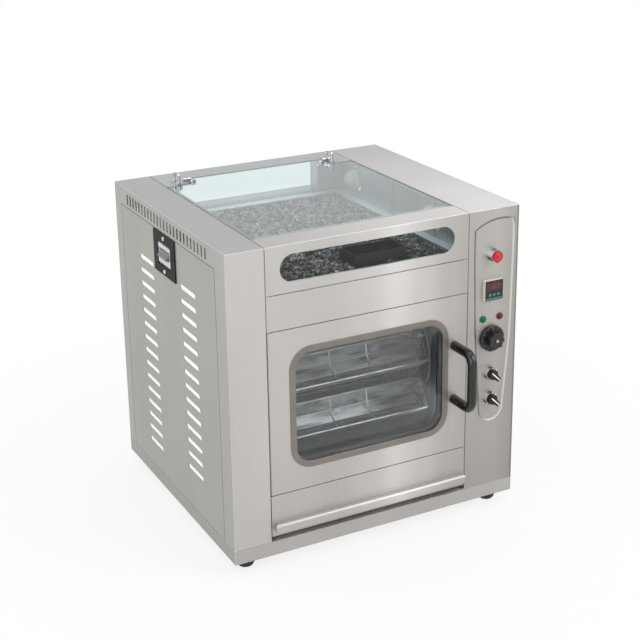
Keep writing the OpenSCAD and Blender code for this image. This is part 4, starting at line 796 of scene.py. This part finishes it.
def bow(start, end, half_width, half_height, lift, drop, steps=22, sides=12):
    """A bowed bar along X with a rounded section, thinner towards its tip; sizes in mm."""
    part = bmesh.new()
    rings = []
    for k in range(steps + 1):
        t = k / steps
        rise = lift + 3.2 * math.sin(math.pi * (0.12 + 0.6 * t)) - drop * max(0, t - 0.55) ** 2
        swell = max(0.15, 1 - (2 * t - 1) ** 8) ** 0.5
        wide, high = half_width * (1 - 0.36 * t) * swell, half_height * (1 - 0.2 * t) * swell
        ring = []
        for j in range(sides):
            c, s = math.cos(2 * math.pi * j / sides), math.sin(2 * math.pi * j / sides)
            ring.append(part.verts.new(Vector((start + (end - start) * t, wide * math.copysign(abs(c) ** 0.6, c),
                                               rise + high * math.copysign(abs(s) ** 0.75, s))) / 1000))
        rings.append(ring)
    return skin(part, rings)


for side, z in SELECTOR_Z.items():
    seat = at(CONTROL_X, SELECTOR_SEAT, z, TO_FRONT, POINTS_DOWN)
    form = bmesh.new()
    join(form, turned_form(HEAD), seat)
    join(form, bow(-11.5, 24.0, 8.4, 3.4, 14.0, 22), seat)
    knob = piece(f"selector_knob_{side}", form, black_abs, f"switch_{side}", 35)
    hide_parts(f"selector_{side}")
    form = bmesh.new()
    join(form, bow(-10.5, 21.5, 2.0, 0.8, 16.9, 17, 20, 8), seat)
    piece(f"selector_line_{side}", form, white_inlay, f"switch_{side}", 35)

# Studio: a plain pale floor and three large soft lamps. The floor and the sky show white to the camera, and in
# metal and glass, and the floor still takes the cabinet's shadow.
FLOOR_GLOW, SKY_LEVEL, GLOW_START, GLOW_FULL, FLOOR_HALF = 0.82, 0.52, 0.45, 1.3, 12
LAMPS = (("key", (2.4, -2.7, 3.2), 2.4, 84), ("fill", (-3.2, -2.1, 1.8), 2.6, 36),
         ("top", (-0.4, 0.8, 3.6), 4.8, 58))
LAMP_AIM = Vector((0, 0, 0.35))
ground = bpy.data.materials.new("studio_floor")
world = bpy.data.worlds.new("studio")
bpy.context.scene.world = world
for owner in (ground, world):
    owner.use_nodes = True
    owner.node_tree.nodes.clear()
    rays = add(owner, "LightPath").outputs
    seen = add(owner, "Math", {0: rays["Is Camera Ray"], 1: rays["Is Glossy Ray"]}, operation="MAXIMUM").outputs[0]
    seen = add(owner, "Math", {0: seen, 1: rays["Is Transmission Ray"]}, operation="MAXIMUM").outputs[0]
    if owner is world:
        level = add(owner, "MapRange", {"Value": seen, "To Min": SKY_LEVEL, "To Max": 1.0}).outputs[0]
        sky = add(owner, "Background", {"Color": (1, 1, 1, 1), "Strength": level}).outputs[0]
        add(owner, "OutputWorld", {"Surface": sky})
    else:
        place = add(owner, "TexCoord").outputs["Object"]
        away = add(owner, "VectorMath", {0: place}, operation="LENGTH").outputs["Value"]
        fade = add(owner, "MapRange", {"Value": away, "From Min": GLOW_START, "From Max": GLOW_FULL,
                                       "To Min": FLOOR_GLOW, "To Max": 1.0}).outputs[0]
        share = add(owner, "Math", {0: seen, 1: fade}, operation="MULTIPLY").outputs[0]
        matt = add(owner, "BsdfDiffuse", {"Color": hue("#f4f4f4")}).outputs[0]
        glow = add(owner, "Emission", {"Color": (1, 1, 1, 1), "Strength": 1.0}).outputs[0]
        both = add(owner, "MixShader", {0: share, 1: matt, 2: glow}).outputs[0]
        add(owner, "OutputMaterial", {"Surface": both})
plane = bmesh.new()
bmesh.ops.create_grid(plane, x_segments=1, y_segments=1, size=FLOOR_HALF)
plane_mesh = bpy.data.meshes.new("floor")
plane.to_mesh(plane_mesh)
plane.free()
plane_mesh.materials.append(ground)
floor = bpy.data.objects.new("floor", plane_mesh)
bpy.context.scene.collection.objects.link(floor)

for name, spot, size, power in LAMPS:
    lamp = bpy.data.lights.new(name, "AREA")
    lamp.size, lamp.energy = size, power
    stand = bpy.data.objects.new(name, lamp)
    stand.location = spot
    stand.rotation_euler = (LAMP_AIM - Vector(spot)).to_track_quat("-Z", "Y").to_euler()
    bpy.context.scene.collection.objects.link(stand)

# Cavity lights: two weak bulbs at the right side of the oven's mouth, as an oven's own lamps stand.
# They light the trays behind the panes, and are not seen themselves.
BULBS, BULB_SIZE = (("upper_cavity_light", (0.520, 0.070, 0.440), 0.14),
                    ("lower_cavity_light", (0.520, 0.070, 0.215), 0.22)), 0.03
for name, spot, power in BULBS:
    bulb = bpy.data.lights.new(name, "POINT")
    bulb.energy, bulb.shadow_soft_size = power, BULB_SIZE
    bulb_stand = bpy.data.objects.new(name, bulb)
    bulb_stand.location = CORNER + Vector(spot)
    bulb_stand.visible_camera = bulb_stand.visible_glossy = bulb_stand.visible_transmission = False
    bpy.context.scene.collection.objects.link(bulb_stand)

# Camera: stands to the left of the cabinet and above it, turned towards its front, with a small vertical shift.
# Its place is measured in metres from the lower front left corner of the base pan.
AZIMUTH, ELEVATION, ROLL = (math.radians(a) for a in (27.335, 18.465, 0.859))
CAMERA_SPOT, LENS_PX, SENSOR, FRAME_PX, SHIFT_PX = (-1.01684, -2.38116, 1.55790), 1376.4, 36.0, 640, -64
camera_data = bpy.data.cameras.new("camera")
camera_data.sensor_width = SENSOR
camera_data.lens = LENS_PX / FRAME_PX * SENSOR
camera_data.shift_y = SHIFT_PX / FRAME_PX
camera_data.clip_end = 50
camera = bpy.data.objects.new("camera", camera_data)
bpy.context.scene.collection.objects.link(camera)
ahead = Vector((math.sin(AZIMUTH) * math.cos(ELEVATION), math.cos(AZIMUTH) * math.cos(ELEVATION),
                -math.sin(ELEVATION)))
level_side = ahead.cross(Vector((0, 0, 1))).normalized()
over = level_side.cross(ahead)
right = math.cos(ROLL) * level_side - math.sin(ROLL) * over
upward = math.sin(ROLL) * level_side + math.cos(ROLL) * over
turn = Matrix((right, upward, -ahead)).transposed()
camera.matrix_world = Matrix.Translation(CORNER + Vector(CAMERA_SPOT)) @ turn.to_4x4()
bpy.context.scene.camera = camera
bpy.context.scene.view_settings.view_transform = "Standard"
